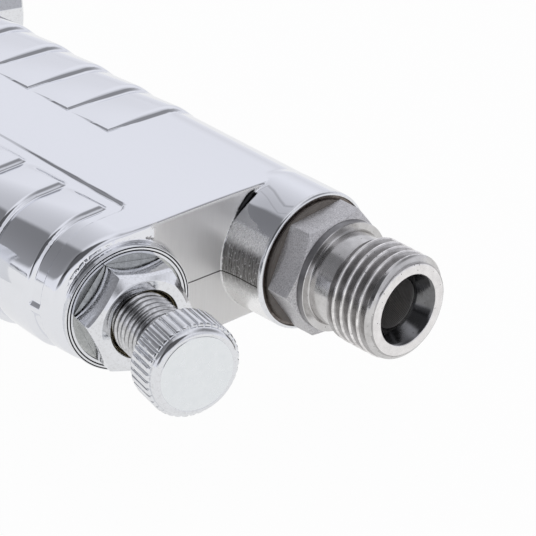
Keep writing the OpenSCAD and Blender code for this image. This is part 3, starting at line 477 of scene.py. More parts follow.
def knob_pads(u, across, z):
    """Pillow pads of the flow-knob edge, in their pocket."""
    height = np.zeros(np.broadcast(u, across, z).shape)
    reach = 3.0 + 0.06 * (u - 7)
    inner = 1 - smooth_step(reach - 0.7, reach + 0.5, across)
    for i in range(8):
        a = u - KNOB_PAD_START - i * KNOB_PAD_PITCH
        pad = pad_profile(a, 0.75, 7.2, 1.6, 7.2)
        height = np.maximum(height, pad * 0.62 * inner)
    border = np.maximum(5.1 - u, across - 5.1 - 0.05 * (u - 7))
    corner = np.hypot(np.maximum(6.8 - u, 0), np.maximum(across - 3.4 - 0.05 * (u - 7), 0)) - 1.7
    border = np.maximum(border, corner)
    depth = 0.40 * (1 - 0.75 * smooth_step(9, 32, u))
    pocket = depth * (1 - smooth_step(-0.22, 0.14, border))
    return (height - pocket) * seam_gap(z)


def grip_field(p):
    """Round-edged, slightly crowned grip with its two rows of finger pads, cut off at the butt."""
    z = p[2]
    u, in_inlet, in_knob = edge_distance(p)
    inwards = np.minimum(in_inlet, in_knob)
    outside = np.maximum(-inwards, 0)
    turn = np.degrees(np.arctan2(outside, np.abs(z)))
    crown = 0.24 * (1 - np.clip(inwards / 12, 0, 1)) ** 2
    relief = np.where(in_inlet < in_knob, inlet_pads(u, in_inlet, turn, z), knob_pads(u, in_knob, z))
    side = np.hypot(outside, z) - GRIP_R - relief + crown
    return np.maximum(side, BUTT_X - GRIP_LENGTH - 2 - p[0])


def tuck_depth(turn):
    """Size of the undercut where the boss meets the butt, by angle from the crown."""
    return 0.36 * smooth_step(24, 31, turn) * (1 - smooth_step(33, 58, turn))


def tuck_distance(x, y, z):
    return np.hypot(np.hypot(y, z) - 9.02, x + 22.05)


def inlet_boss(x, y, z, turn):
    """Boss that flares towards the butt on its polished side; its rim is a turned piece."""
    flared = smooth_step(20, 38, turn) * (1 - smooth_step(105, 140, turn))
    flare = 0.30 * np.clip((-19.0 - x) / 3.1, 0, 1) ** 2 * flared
    side = np.hypot(y, z) - BOSS_R - flare + 0.35 * smooth_step(22.3, 25.8, -x)
    return trim(side, np.maximum(x - RIM_BACK_X, -26 - x), 0.06)


def casting_field(p):
    x, y, z = p
    flow = local(AT_FLOW, p)
    body = trim(grip_field(p), x - BUTT_X, 0.5)
    body = trim(body, flow[0] + 1.15, 1.1)
    body = fuse(body, round_bar(flow, FLOW_BOSS_R - 0.04, -8, -0.55, 0.1), 0.4)
    turn = np.degrees(np.arctan2(-y, z))
    fillet = 0.03 + 0.22 * smooth_step(14, 40, turn) * (1 - smooth_step(125, 170, turn))
    body = fuse(body, inlet_boss(x, y, z, turn), fillet)
    body = np.maximum(body, tuck_depth(turn) - tuck_distance(x, y, z))

    head = local(AT_HEAD, p)
    around = np.hypot(head[1], head[2])
    waist = BARREL_R + (MUZZLE_R - BARREL_R) * smooth_step(29, 36, head[0])
    barrel = trim(around - waist, np.maximum(head[0] - 46, -26 - head[0]), 2.2)
    throat = np.maximum(np.maximum(head[0] - 33, head[1] - 22), np.maximum(-head[0], -head[1]))
    throat = np.maximum(throat, 13 - np.hypot(head[0] - 33, head[1] - 22))
    throat = trim(throat, np.abs(z) - GRIP_R + 1, 1.5)
    gauge = round_bar((-head[1], head[0], z), 7.6, 0, 15, 0.8)
    valve = local(AT_VALVE, p)
    chamber = round_bar(valve, GRIP_R + 0.3, -33, 19.5, 1.2)
    pivot = round_bar((z, head[0] - 22, head[1] + 7), 5.2, -11.2, 11.2, 0.8)
    head_part = fuse(fuse(barrel, throat, 2.5), gauge, 3.0)
    head_part = fuse(head_part, pivot, 1.5)
    body = fuse(fuse(body, chamber, 2.0), head_part, 4.0)

    # Bores: the axis, then the radius and both ends of each
    bores = [
        ((x, y, z), (THREAD_R, -25.8, 0), (4.6, -45.8, -20)),
        (flow, (5.03, -7.53, 4), (4.0, -19, 0), (2.1, -19.6, -18), (1.6, -60, -19)),
        (head, (5.53, -40, -14), (4.89, 36, 60)),
        ((-head[1], head[0], z), (4.89, 4, 24)),
        (valve, (6.3, -40, -4), (4.2, -5, 12), (5.2, 9, 30), (7.33, 19.5, 40)),
        ((z, head[0] - 22, head[1] + 7), (2.53, -30, 30)),
    ]
    for axis, *holes in bores:
        for radius, low, high in holes:
            body = np.maximum(body, -hole(axis, radius, low, high))
    return body


def skin(field, xs, ys, zs):
    """Closed quad mesh of the field's zero level on a grid of uneven steps."""
    sizes = (len(xs), len(ys), len(zs))
    values = np.empty(sizes)
    for start in range(0, sizes[0], 24):
        part = np.meshgrid(xs[start : start + 24], ys, zs, indexing="ij")
        values[start : start + 24] = field(part)
    strides = (sizes[1] * sizes[2], sizes[2], 1)
    lines = (xs, ys, zs)
    total = sizes[0] * sizes[1] * sizes[2]
    sums = np.zeros((3, total))
    hits = np.zeros(total)
    quads = []
    for axis in range(3):
        low = [slice(None)] * 3
        high = [slice(None)] * 3
        low[axis] = slice(None, -1)
        high[axis] = slice(1, None)
        a, b = values[tuple(low)], values[tuple(high)]
        at = np.argwhere((a < 0) != (b < 0))
        va = a[tuple(at.T)]
        vb = b[tuple(at.T)]
        t = va / (va - vb)
        where = [lines[k][at[:, k]].copy() for k in range(3)]
        where[axis] += t * (lines[axis][at[:, axis] + 1] - lines[axis][at[:, axis]])
        base = at @ np.array(strides)
        one, two = strides[(axis + 1) % 3], strides[(axis + 2) % 3]
        around = [base, base - one, base - one - two, base - two]
        for cell in around:
            for k in range(3):
                sums[k] += np.bincount(cell, where[k], total)
            hits += np.bincount(cell, minlength=total)
        order = np.stack(around, 1)
        order[va > 0] = order[va > 0][:, ::-1]
        quads.append(order)
    used = np.flatnonzero(hits)
    number = np.zeros(total, int)
    number[used] = np.arange(len(used))
    points = (sums[:, used] / hits[used]).T
    return points, number[np.concatenate(quads)]


def slopes(field, points, reach=0.015):
    """Gradient of the field at the points."""
    found = np.empty_like(points)
    for k in range(3):
        ahead, behind = points.copy(), points.copy()
        ahead[:, k] += reach
        behind[:, k] -= reach
        found[:, k] = (field(ahead.T) - field(behind.T)) / (2 * reach)
    return found


def settle(field, points, steps=5):
    """Moves the points onto the zero level and gives the outward directions there."""
    for _ in range(steps):
        g = slopes(field, points)
        move = (field(points.T) / np.maximum((g * g).sum(1), 0.2))[:, None] * g
        length = np.linalg.norm(move, axis=1, keepdims=True)
        points = points - move * np.minimum(1, 0.25 / np.maximum(length, 1e-9))
    g = slopes(field, points, 0.03)
    return points, g / np.maximum(np.linalg.norm(g, axis=1, keepdims=True), 1e-9)


def steps_between(stops):
    """Grid lines: (position, step after it) pairs."""
    lines = []
    for (low, step), (high, _) in zip(stops, stops[1:]):
        n = max(1, round((high - low) / step))
        lines.extend(np.linspace(low, high, n, endpoint=False))
    return np.array(lines + [stops[-1][0]])


def piece(name, mesh, body, nodes=()):
    """Adds a finished mesh that rides on a body, and stands for the CAD nodes if any are named."""
    obj = added(name, mesh)
    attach(obj, body)
    if nodes:
        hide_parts(*nodes)


def make_casting():
    walls = [BUTT_X - INLET_PAD_START - INLET_PAD_PITCH * i for i in range(5)]
    walls += [BUTT_X - KNOB_PAD_START - KNOB_PAD_PITCH * i for i in range(7)]
    stops = [(-151.0, 1.2), (-80.0, 0.62)]
    for wall in sorted(walls):
        if wall - 0.55 > stops[-1][0] + 0.2:
            stops += [(wall - 0.55, 0.16), (wall + 0.55, 0.62)]
    stops += [(-27.8, 0.16), (-27.0, 0.4), (-24.2, 0.3), (-22.9, 0.14), (-21.2, 0.35), (-16.5, 0.12)]
    stops += [(-15.5, 0.5), (-14.5, 0.5)]
    xs = steps_between(sorted(stops))
    ys = steps_between([(-61.0, 1.2), (-36.0, 0.6), (-19.7, 0.13), (-18.3, 0.6), (-8.7, 0.13), (-7.0, 0.42),
                        (1.0, 0.62), (10.6, 1.2), (19.0, 1.0)])
    zs = steps_between([(-12.2, 0.6), (-9.7, 0.35), (-8.0, 0.62), (1.0, 0.45), (8.0, 0.22), (9.7, 0.6),
                        (12.2, 0.5)])
    points, faces = skin(casting_field, xs, ys, zs)
    points, directions = settle(casting_field, points)
    mesh = mesh_of("grip_casting", points, faces.tolist())
    mesh.shade_smooth()
    mesh.normals_split_custom_set_from_vertices(directions.tolist())
    for name, numbers in casting_marks(*points.T, directions[:, 0]).items():
        mesh.attributes.new(name, "FLOAT", "POINT").data.foreach_set("value", numbers.astype(np.float32))
    cover(mesh, casting_chrome())
    piece("grip_casting", mesh, "gun", ["gun_body"])


def casting_marks(x, y, z, facing):
    """Where the casting is satin, brushed and matt, and where shade and a highlight are painted on it, for
    its finish; facing 1 looks along x.
    """
    turn = np.degrees(np.arctan2(-y, z))
    recess = (x > BUTT_X - 0.3) & (facing > 0.6) & (y > -20) & (y < -3)
    on_boss = (x > BUTT_X + 0.1) & (np.hypot(y, z) > 7)
    knob_side = on_boss & (y < 0)
    # Painted shade goes in the undercut crease, which is also rougher.
    undercut = 1 - smooth_step(0.0, 0.14, tuck_distance(x, y, z) - tuck_depth(turn))
    undercut = undercut * smooth_step(23, 27, turn) * (1 - smooth_step(48, 72, turn)) * (x < -21)
    line = np.interp(x, [-22.0, -21.7, -20.4, -18.6, -17.3, -16.3, -15.9, -15.6],
                     [24, 16, 18, 23, 26, 23, 17, -20])
    inside = (turn - line) * math.radians(1) * BOSS_R * on_boss * (y < 4)
    return {
        "satin": recess + knob_side * 0.7 * smooth_step(96, 110, turn),
        "brushed": knob_side * smooth_step(53, 57, turn) * (1 - smooth_step(100, 132, turn)),
        # Painted shade: the dark band low on the knob side of the boss.
        "dark_band_shade": knob_side * smooth_step(64, 78, turn) * (1 - smooth_step(84, 116, turn)),
        "matt": 0.6 * recess,
        # Smoother polish, and a painted highlight band on the knob side of the boss.
        "polish_and_highlight": knob_side * smooth_step(52, 55, turn) * (1 - smooth_step(60, 70, turn)),
        "corner": undercut,
        # Distance in mm from the line along which the painted shade lines run.
        "facet": np.where(on_boss, inside, -5.0),
        "seam": np.where(recess | on_boss, 1.0, 0.0),
    }


# Turned pieces


def angles_round(segments, corner=None):
    """Angles from 0 to a full turn, both kept; closer beside a hexagon's corners, if one's angle is given."""
    even = np.linspace(0, 2 * math.pi, segments + 1)
    if corner is None:
        return even
    corners = np.radians(corner + 60 * np.arange(6))
    close = np.concatenate([corners + d for d in (-0.05, -0.03, -0.012, 0, 0.012, 0.03, 0.05)])
    close = close[(close > 0.01) & (close < 2 * math.pi - 0.01)]
    apart = np.abs(even[:, None] - close[None, :]).min(1) > 0.012
    apart[[0, -1]] = True
    return np.sort(np.concatenate([even[apart], close]))


def lathe_rows(points, angles, step):
    """Rows along a broken line of (x, radius), at most step apart, for every angle."""
    out = [points[0]]
    for a, b in zip(points, points[1:]):
        n = max(1, math.ceil(math.dist(a, b) / step))
        out += [(a[0] + (b[0] - a[0]) * i / n, a[1] + (b[1] - a[1]) * i / n) for i in range(1, n + 1)]
    line = np.array(out)
    return [np.repeat(line[:, k : k + 1], len(angles), 1) for k in range(2)]


def arc_line(x, r, radius, start, end, steps):
    """Points of an arc in the (x, radius) plane."""
    return [
        (x + radius * math.cos(math.radians(a)), r + radius * math.sin(math.radians(a)))
        for a in np.linspace(start, end, steps + 1)
    ]


def hexagon_reach(flats, turn, angles, ease=0.14):
    """Distance from the axis to a hexagon's outline, its corners eased."""
    away = (angles - math.radians(turn)) % (math.pi / 3)
    away = np.minimum(away, math.pi / 3 - away)
    centre = (flats / 2 - ease) / math.cos(math.pi / 6)
    on_flat = flats / 2 / np.cos(math.pi / 6 - away)
    on_corner = centre * np.cos(away) + np.sqrt(np.clip(ease**2 - (centre * np.sin(away)) ** 2, 0, None))
    edge = math.pi / 6 - math.atan(centre * 0.5 / (flats / 2))
    return np.where(away < edge, on_corner, on_flat)


def hexagon_rows(flats, turn, angles, back, front, land):
    """Rows over a hexagon bar from back to front, with a cone chamfer down to the radius of a round land."""
    reach = hexagon_reach(flats, turn, angles)[None, :]
    edge = 0.03
    start = np.full_like(reach, back)
    end = front - (reach - land) * CHAMFER_SLOPE
    xs, rs = [start], [reach - edge]
    for t in (edge, 0.25, 0.5, 0.75, 1 - edge):
        xs.append(start + (end - start) * t)
        rs.append(reach)
    for t in (1 - edge * 2, 0.75, 0.5, 0.25, 0.04):
        xs.append(front - (reach - land) * CHAMFER_SLOPE * t)
        rs.append(land + (reach - land) * t)
    xs.append(np.full_like(reach, front))
    rs.append(np.full_like(reach, land - 0.04))
    return [np.concatenate(xs), np.concatenate(rs)]


def thread_rows(crest, root, pitch, first, last, angles, envelope, per_turn=14, run_out=0.35):
    """Rows that climb with a right-handed thread, so that its crest stays crisp."""
    turns = (last - first) / pitch
    k = np.arange(-per_turn, math.ceil(turns * per_turn) + 1)[:, None] / per_turn
    x = np.clip(first + pitch * (k + angles[None, :] / (2 * math.pi)), first, last)
    phase = ((x - first) / pitch - angles[None, :] / (2 * math.pi)) % 1
    tooth = np.clip((np.abs(2 * phase - 1) - 0.12) / 0.74, 0, 1)
    tooth = 0.45 * tooth * tooth * (3 - 2 * tooth) + 0.55 * tooth
    fade = 1 - smooth_step(last - run_out * pitch, last - 0.02, x)
    r = crest - (crest - root) * (1 - tooth) * fade
    return [x, np.minimum(r, envelope(x))]


def mend(mesh, dissolve=False):
    """Merges doubled points and turns the faces outwards; may also drop faces of no width."""
    made = bmesh.new()
    made.from_mesh(mesh)
    bmesh.ops.remove_doubles(made, verts=made.verts, dist=MERGE)
    if dissolve:
        bmesh.ops.dissolve_degenerate(made, edges=made.edges, dist=MERGE)
    bmesh.ops.recalc_face_normals(made, faces=made.faces)
    made.to_mesh(mesh)
    made.free()


def smooth_to(mesh, degrees):
    """Smooth shading, but for edges sharper than the angle."""
    mesh.shade_smooth()
    mesh.set_sharp_from_angle(angle=math.radians(degrees))


def spin(name, blocks, angles, place, sharp):
    """Closed skin through blocks of rows, turned about the frame's x axis."""
    x = np.concatenate([b[0] for b in blocks])
    r = np.concatenate([b[1] for b in blocks])
    turn = np.repeat(angles[None, :], len(x), 0)
    grid = np.stack([x, r * np.cos(turn), r * np.sin(turn)], -1)
    rows, columns = x.shape
    index = np.arange(rows * columns).reshape(rows, columns)
    following = np.roll(index, -1, 0)
    faces = np.stack([index[:, :-1], following[:, :-1], following[:, 1:], index[:, 1:]], -1).reshape(-1, 4)
    mesh = mesh_of(name, grid.reshape(-1, 3), faces.tolist())
    mend(mesh, dissolve=True)
    smooth_to(mesh, sharp)
    mesh.transform(in_metres(place))
    return mesh


def paint_faces(mesh, place, materials, choose):
    """Gives each face the material that choose(x, radius) names by number."""
    for material in materials:
        mesh.materials.append(material)
    back = in_metres(place).inverted()
    for face in mesh.polygons:
        at = back @ face.center
        face.material_index = choose(at.x / MM, math.hypot(at.y, at.z) / MM)


def turned_piece(name, blocks, angles, place, sharp, materials, choose, body, nodes=()):
    mesh = spin(name, blocks, angles, place, sharp)
    paint_faces(mesh, place, materials, choose)
    piece(name, mesh, body, nodes)


def make_nipple():
    tail, seat, hexagon_front, land, neck = -25.0, -15.2, -11.5, -10.55, -7.1
    angles = angles_round(168, NIPPLE_TURN)

    def envelope(x):
        """Largest radius of the thread: end chamfers and the slope up from the neck."""
        chamfer = THREAD_R - np.clip(x + 0.95, 0, None) * 0.62 - np.clip(x + 0.4, 0, None) * 1.1
        return np.minimum(chamfer, 5.9 + (x - neck + 0.25) * 1.7)

    blocks = [
        lathe_rows([(tail, 3.3), (tail, 5.75), (tail + 0.8, 6.55), (seat, 6.55), (seat, 6.9)], angles, 1.5),
        hexagon_rows(14.0, NIPPLE_TURN, angles, seat, hexagon_front, 6.95),
        lathe_rows([(hexagon_front, 6.9), (land - 0.08, 6.9), (land, 6.82), (land, 6.08), (land - 0.1, 6.0),
                    (land + 0.02, 5.88), (land + 0.1, 5.85), (neck - 0.25, 5.85)], angles, 0.4),
        thread_rows(THREAD_R, 5.72, THREAD_PITCH, neck - 0.25, -0.1, angles + 3.46, envelope, run_out=0.06),
        lathe_rows([(-0.06, 5.66), (-0.02, 5.56), (0, 5.4), (0, 4.55), (-0.06, 4.45), (-2.28, 3.17),
                    (-7.4, 3.17), (-7.45, 2.9), (tail, 2.9), (tail, 3.3)], angles, 0.45),
    ]
    # Nickel and its lit and shaded copies: painted shade on the land's side, in the mouth's cone and on the
    # thread's flanks; painted highlight on the front face and the thread's crests.
    finishes = [
        turned_nickel("turned_nickel"),
        milled_nickel(),
        bored_nickel(),
        turned_nickel("land_shade_nickel", (0.30, 0.295, 0.30), (0.22, 0.215, 0.22), 0.3, 0.4),
        turned_nickel("cone_shade_nickel", (0.20, 0.20, 0.205), (0.15, 0.15, 0.15), 0.10, 0.22),
        turned_nickel("flank_shade_nickel", (0.52, 0.51, 0.505), (0.40, 0.39, 0.385), 0.20, 0.34),
        turned_nickel("mouth_highlight_nickel", (0.93, 0.91, 0.90), (0.80, 0.78, 0.77), 0.22, 0.34),
        turned_nickel("crest_highlight_nickel", (0.98, 0.96, 0.95), (0.60, 0.58, 0.57), 0.12, 0.38),
    ]
    plain, milled, bored, shaded_land, cone, flank, mouth, crest = range(len(finishes))

    def choose(x, r):
        if r < 3.3 and x < -2.1:
            return bored
        if r < 4.46 and -2.3 < x < -0.03:
            return cone
        if r > 6.84 and hexagon_front < x < land - 0.09:
            return shaded_land
        if x > -0.08:
            return mouth
        if x > -0.95:
            return plain if r > 5.9 else flank
        if x > neck - 0.2 and r > 3.5:
            return flank if r < 6.40 else crest
        return milled if r > 6.9 and x < hexagon_front else plain

    turned_piece("threaded_nipple", blocks, angles, AT_INLET, 30, finishes, choose, "gun",
                 ["inlet_nipple"])


def make_boss_rim(chrome, dark_groove_plate):
    """Turned rim of the inlet boss, with the groove round the seal."""
    angles = angles_round(180)
    outside = [(-16.9, 6.7), (-16.9, 8.5), (-16.3, 8.5), (-16.3, BOSS_R + 0.006), (-16.12, BOSS_R + 0.006)]
    edge = arc_line(-16.11, BOSS_R - 0.354, 0.36, 88, 4, 7)
    inside = [(BOSS_FACE_X, 8.30), (-15.8, 8.24), (-16.0, 8.2), (-16.0, SEAL_R + 0.12),
              (-15.6, SEAL_R + 0.08), (-15.6, 6.7), (-16.9, 6.7)]
    # The seal groove inside r 8.26 takes a darker brownish plate.
    turned_piece("boss_rim", [lathe_rows(outside + edge + inside, angles, 0.6)], angles, AT_INLET, 30,
                 [chrome, dark_groove_plate], lambda x, r: int(r < 8.26), "gun")


def make_flow_boss_face(chrome, shadowed, seat):
    """Machined front of the casting's flow boss, with two grooves and a spot face for the nut."""
    angles = angles_round(160)
    r = FLOW_BOSS_R
    line = [(-2.6, 5.1), (-2.6, r), (-0.16, r), (-0.05, r - 0.03), (-0.05, r - 0.1), (-0.28, r - 0.13),
            (-0.28, r - 0.22), (-0.02, r - 0.25), (0, r - 0.3), (0, 7.5), (-0.16, 7.47), (-0.16, 7.36),
            (0, 7.33), (0, 7.08), (-0.03, 7.03), (-0.3, 7.0), (-0.3, 5.1), (-2.6, 5.1)]

    # Painted shade: the two grooves and the spot face's wall take the near black chrome.
    def choose(x, at):
        outer_groove = x < -0.1 and r - 0.25 < at < r - 0.05
        inner_groove = x < -0.03 and 7.34 < at < 7.5
        wall = -0.31 < x < -0.02 and 6.99 < at < 7.06
        if outer_groove or inner_groove or wall:
            return 1
        return 2 if x < -0.1 and at < r - 0.3 else 0

    turned_piece("flow_boss_face", [lathe_rows(line, angles, 0.8)], angles, AT_FLOW, 28,
                 [chrome, shadowed, seat], choose, "gun")


def make_gland_nut(chrome, brass):
    angles = angles_round(150, GLAND_TURN)
    front, land = 4.2, 5.5
    bore = thread_rows(4.12, 3.93, 0.8, 0.2, 3.7, angles, lambda x: x * 0 + 9, 10)
    blocks = [
        lathe_rows([(-7.5, 3.97), (-7.5, 5.0), (-0.28, 5.0)], angles, 1.5),
        hexagon_rows(12.0, GLAND_TURN, angles, -0.28, front, land),
        lathe_rows([(front, 5.4), (front, 4.42), (4.14, 4.34), (3.75, 4.12)], angles, 0.4),
        [rows[::-1] for rows in bore],
        lathe_rows([(0.1, 3.97), (-7.5, 3.97)], angles, 2),
    ]

    def choose(x, r):
        if r < 4.3 and x < front - 0.07:
            return 1
        return 2 if r > 5.9 and x < front - 0.04 - (r - land) * CHAMFER_SLOPE else 0

    turned_piece("gland_nut_turned", blocks, angles, AT_FLOW, 30, [chrome, brass, milled_chrome()], choose,
                 "gun", ["gland_nut"])


def make_flow_screw(cut_chrome, shaded_root_chrome):
    angles = angles_round(120)
    tip = [(-17.05, 0.0), (-17.05, 0.5), (-15.05, 2.6), (-11.05, 2.6), (-11.05, 1.7), (-9.05, 1.7),
           (-9.05, 2.6), (-6.4, 2.6), (-6.0, 3.45)]
    blocks = [
        lathe_rows(tip, angles, 1.5),
        thread_rows(3.86, 3.36, 0.95, -6.0, KNOB_BACK, angles, lambda x: x * 0 + 9, 12),
        lathe_rows([(KNOB_BACK, 3.0), (15.4, 3.0), (15.4, 0.0)], angles, 1.5),
    ]
    # Painted shade: the thread's roots and lower flanks take the darker chrome.
    turned_piece("flow_screw_cut", blocks, angles, AT_FLOW, 34, [cut_chrome, shaded_root_chrome],
                 lambda x, r: int(r < 3.62 and x > 0), "flow_spindle", ["flow_screw"])


# Repeats


def ring_tree():
    """Node tree that repeats a part about an axis at even angles."""
    tree = bpy.data.node_groups.new("ring_of_parts", "GeometryNodeTree")
    sockets = {"Part": "Object", "Count": "Int", "Step": "Float", "Start": "Float", "Axis": "Vector",
               "Finish": "Material"}
    for name, kind in sockets.items():
        tree.interface.new_socket(name=name, in_out="INPUT", socket_type="NodeSocket" + kind)
    tree.interface.new_socket(name="Geometry", in_out="OUTPUT", socket_type="NodeSocketGeometry")

    def made(kind, output, **inputs):
        return add_node(tree, kind, inputs).outputs[output]

    given = tree.nodes.new("NodeGroupInput").outputs
    index = made("GeometryNodeInputIndex", "Index")
    angle = math_node(tree, "MULTIPLY_ADD", index, given["Step"], given["Start"])
    turn = made("FunctionNodeAxisAngleToRotation", "Rotation", Axis=given["Axis"], Angle=angle)
    points = made("GeometryNodeMeshLine", "Mesh", Count=given["Count"], Offset=(0, 0, 0))
    part = made("GeometryNodeObjectInfo", "Geometry", Object=given["Part"])
    ring = made("GeometryNodeInstanceOnPoints", "Instances", Points=points, Instance=part, Rotation=turn)
    real = made("GeometryNodeRealizeInstances", "Geometry", Geometry=ring)
    painted = made("GeometryNodeSetMaterial", "Geometry", Geometry=real, Material=given["Finish"])
    add_node(tree, "NodeGroupOutput", {"Geometry": painted})
    return tree


def ring_of(tree, part_mesh, count, step, start, axis, finish):
    """Plain mesh of count copies of a part, each turned by step degrees more than the last."""
    part = added("part", part_mesh)
    host = added("host", bpy.data.meshes.new("host"))
    grown = host.modifiers.new("ring", "NODES")
    grown.node_group = tree
    values = {"Part": part, "Count": count, "Step": math.radians(step), "Start": math.radians(start),
              "Axis": axis, "Finish": finish}
    for item in tree.interface.items_tree:
        if item.item_type == "SOCKET" and item.in_out == "INPUT":
            grown[item.identifier] = values[item.name]
    mesh = evaluated(host)
    bpy.data.objects.remove(part)
    return mesh


def ridge_mesh():
    """One ridge of the knob's rim, its ends sloped, in the knob's own axes."""
    half = [(-0.39, -0.35), (-0.37, 0.06), (-0.33, 0.18), (-0.27, 0.225)]
    section = half + [(0, 0.24)] + [(-across, high) for across, high in reversed(half)]
    stations = [(KNOB_BACK + 0.02, 0.15), (KNOB_BACK + 0.2, 0.8), (KNOB_BACK + 0.36, 1.0),
                (KNOB_REACH - 1.16, 1.0), (KNOB_REACH - 1.0, 0.86), (KNOB_REACH - 0.86, 0.2)]
    points = [(x, s, 5.7 + (h * k if h > 0 else h)) for x, k in stations for s, h in section]
    n = len(section)
    faces = [
        (i * n + j, i * n + (j + 1) % n, (i + 1) * n + (j + 1) % n, (i + 1) * n + j)
        for i in range(len(stations) - 1)
        for j in range(n)
    ]
    faces += [tuple(range(n))[::-1], tuple(range((len(stations) - 1) * n, len(stations) * n))]
    mesh = mesh_of("ridge", points, faces)
    mend(mesh)
    smooth_to(mesh, 40)
    return mesh


def joined(name, meshes):
    """One mesh of several, their finishes kept."""
    made = bmesh.new()
    finishes = []
    for part in meshes:
        finishes += [material for material in part.materials if material not in finishes]
        numbers = [finishes.index(material) for material in part.materials]
        before = len(made.faces)
        made.from_mesh(part)
        made.faces.ensure_lookup_table()
        for face in made.faces[before:]:
            face.material_index = numbers[min(face.material_index, len(numbers) - 1)]
    mesh = bpy.data.meshes.new(name)
    made.to_mesh(mesh)
    made.free()
    for material in finishes:
        mesh.materials.append(material)
    return mesh


def make_knob(tree, edge, face):
    angles = angles_round(144)
    back, front, face_r = KNOB_BACK, KNOB_REACH, 4.60
    outline = [(15.43, 0.0), (15.43, 3.03), (back, 3.03), (back, 5.1), (back + 0.25, 5.5), (back + 0.5, 5.66),
               (front - 1.12, 5.66), (front - 1.02, 5.62)]
    shoulder = arc_line(front - 0.86, 4.69, 0.84, 84, 8, 12)
    step = [(front - 0.02, 4.74), (front - 0.05, 4.68), (front - 0.05, 4.64)]
    blocks = [
        lathe_rows(outline, angles, 1.2),
        lathe_rows(shoulder + step, angles, 1.0),
        lathe_rows([(front, face_r), (front, 0.0)], angles, 1.5),
    ]
    core = spin("knob_core", blocks, angles, AT_INLET, 32)
    paint_faces(core, AT_INLET, [edge, face], lambda x, r: int(r < face_r + 0.01 and x > 16.5))
    ridges = ring_of(tree, ridge_mesh(), 38, 360 / 38, 2.0, (1, 0, 0), edge)
    mesh = joined("ridged_knob", [core, ridges])
    mesh.transform(in_metres(AT_FLOW))
    piece("ridged_knob", mesh, "flow_spindle", ["flow_knob"])


def block_mesh(name, low, high):
    """Plain block between two corners, in millimetres, for a printed mark."""
    made = bmesh.new()
    bmesh.ops.create_cube(made, size=1)
    centre = [(a + b) / 2 * MM for a, b in zip(low, high)]
    size = [(b - a) * MM for a, b in zip(low, high)]
    bmesh.ops.scale(made, vec=size, verts=made.verts)
    bmesh.ops.translate(made, vec=centre, verts=made.verts)
    mesh = bpy.data.meshes.new(name)
    made.to_mesh(mesh)
    made.free()
    return mesh


def figure_mesh(text, size, x, y, z, finish):
    """Printed figure on the dial, centred, read with the gun upright."""
    curve = bpy.data.curves.new("figure", "FONT")
    curve.body = text
    curve.size = size
    curve.extrude = 0.03
    curve.align_x = curve.align_y = "CENTER"
    curve.resolution_u = 4
    host = added("figure", curve)
    bpy.context.view_layer.update()
    mesh = evaluated(host)
    mesh.transform(Matrix.Translation((x, y, z)) @ Matrix.Rotation(math.pi, 4, "Z"))
    mesh.transform(Matrix.Scale(MM, 4))
    cover(mesh, finish)
    return mesh


def make_dial_print(tree, ink):
    """Scale of the gauge: long, short and fine marks over three quarters of a turn, and figures."""
    z = DIAL_FRONT
    outer = 21.6
    marks = []
    for inner, half, count, step in ((18.6, 0.22, 7, 45), (19.8, 0.14, 13, 22.5), (20.5, 0.08, 61, 4.5)):
        block = block_mesh("mark", (inner, -half, z - 0.02), (outer, half, z + 0.03))
        marks.append(ring_of(tree, block, count, -step, 45, (0, 0, 1), ink))
    for i in range(7):
        turn = math.radians(45 - 45 * i)
        marks.append(figure_mesh(str(2 * i), 3.9, 15.9 * math.cos(turn), 15.9 * math.sin(turn), z, ink))
    marks.append(figure_mesh("bar", 3.0, 0, 9.5, z, ink))
    mesh = joined("dial_scale", marks)
    mend(mesh)
    mesh.transform(in_metres(AT_GAUGE))
    piece("dial_scale", mesh, "gun")


def make_boot_ribs(tree, rubber):
    """Ribs that bridge the boot's groove, for grip."""
    rib = block_mesh("rib", (28.0, -0.65, -4.6), (29.15, 0.65, -2.4))
    mesh = ring_of(tree, rib, 60, 6, 0, (0, 0, 1), rubber)
    mesh.transform(in_metres(AT_GAUGE))
    piece("boot_ribs", mesh, "gun")


def ease_edges(node, body, material, width=0.2, steps=2):
    """Rounds the hard edges of a machined or moulded CAD node."""
    corner = 34
    made = bmesh.new()
    made.from_mesh(NODES[node].data)
    bmesh.ops.remove_doubles(made, verts=made.verts, dist=2e-6)
    bmesh.ops.dissolve_limit(made, angle_limit=math.radians(1), verts=made.verts, edges=made.edges)
    mesh = bpy.data.meshes.new(node)
    made.to_mesh(mesh)
    made.free()
    host = added(node, mesh)
    bevel = host.modifiers.new("ease", "BEVEL")
    bevel.width = width * MM
    bevel.segments = steps
    bevel.limit_method = "ANGLE"
    bevel.angle_limit = math.radians(corner)
    bevel.harden_normals = True
    bevel.miter_outer = "MITER_ARC"
    smooth_to(mesh, corner)
    eased = evaluated(host)
    if not eased.polygons:
        raise ValueError(node + " came out empty")
    cover(eased, material)
    piece(node + "_eased", eased, body, [node])


# Studio

TENT_LIGHT = 0.90
FLOOR_SEEN = 0.97
FLOOR_MIRRORED = 0.78

# Cards: direction, half width, half height, softness across, softness up, brightness inside, tilt
CARDS = [
    ((-0.63, -0.564, 0.533), 0.95, 0.42, 0.10, 0.06, 0.40, 0.538),
    ((-0.63, -0.30, 0.70), 0.75, 0.55, 0.75, 0.50, 0.62, 0.0),
    ((0.40, 0.624, 0.67), 0.46, 0.42, 0.42, 0.30, 0.32, 0.0),
    ((-0.72, 0.62, 0.18), 0.8, 0.10, 0.3, 0.20, 0.86, 0.0),
    ((0.46, -0.58, 0.68), 0.58, 0.46, 0.16, 0.14, 0.12, 0.0),
    ((0.95, 0.10, 0.25), 0.40, 0.16, 0.08, 0.08, 0.8, 0.0),
    ((0.30, -0.90, 0.25), 0.30, 0.20, 0.10, 0.08, 0.20, 0.0),
]


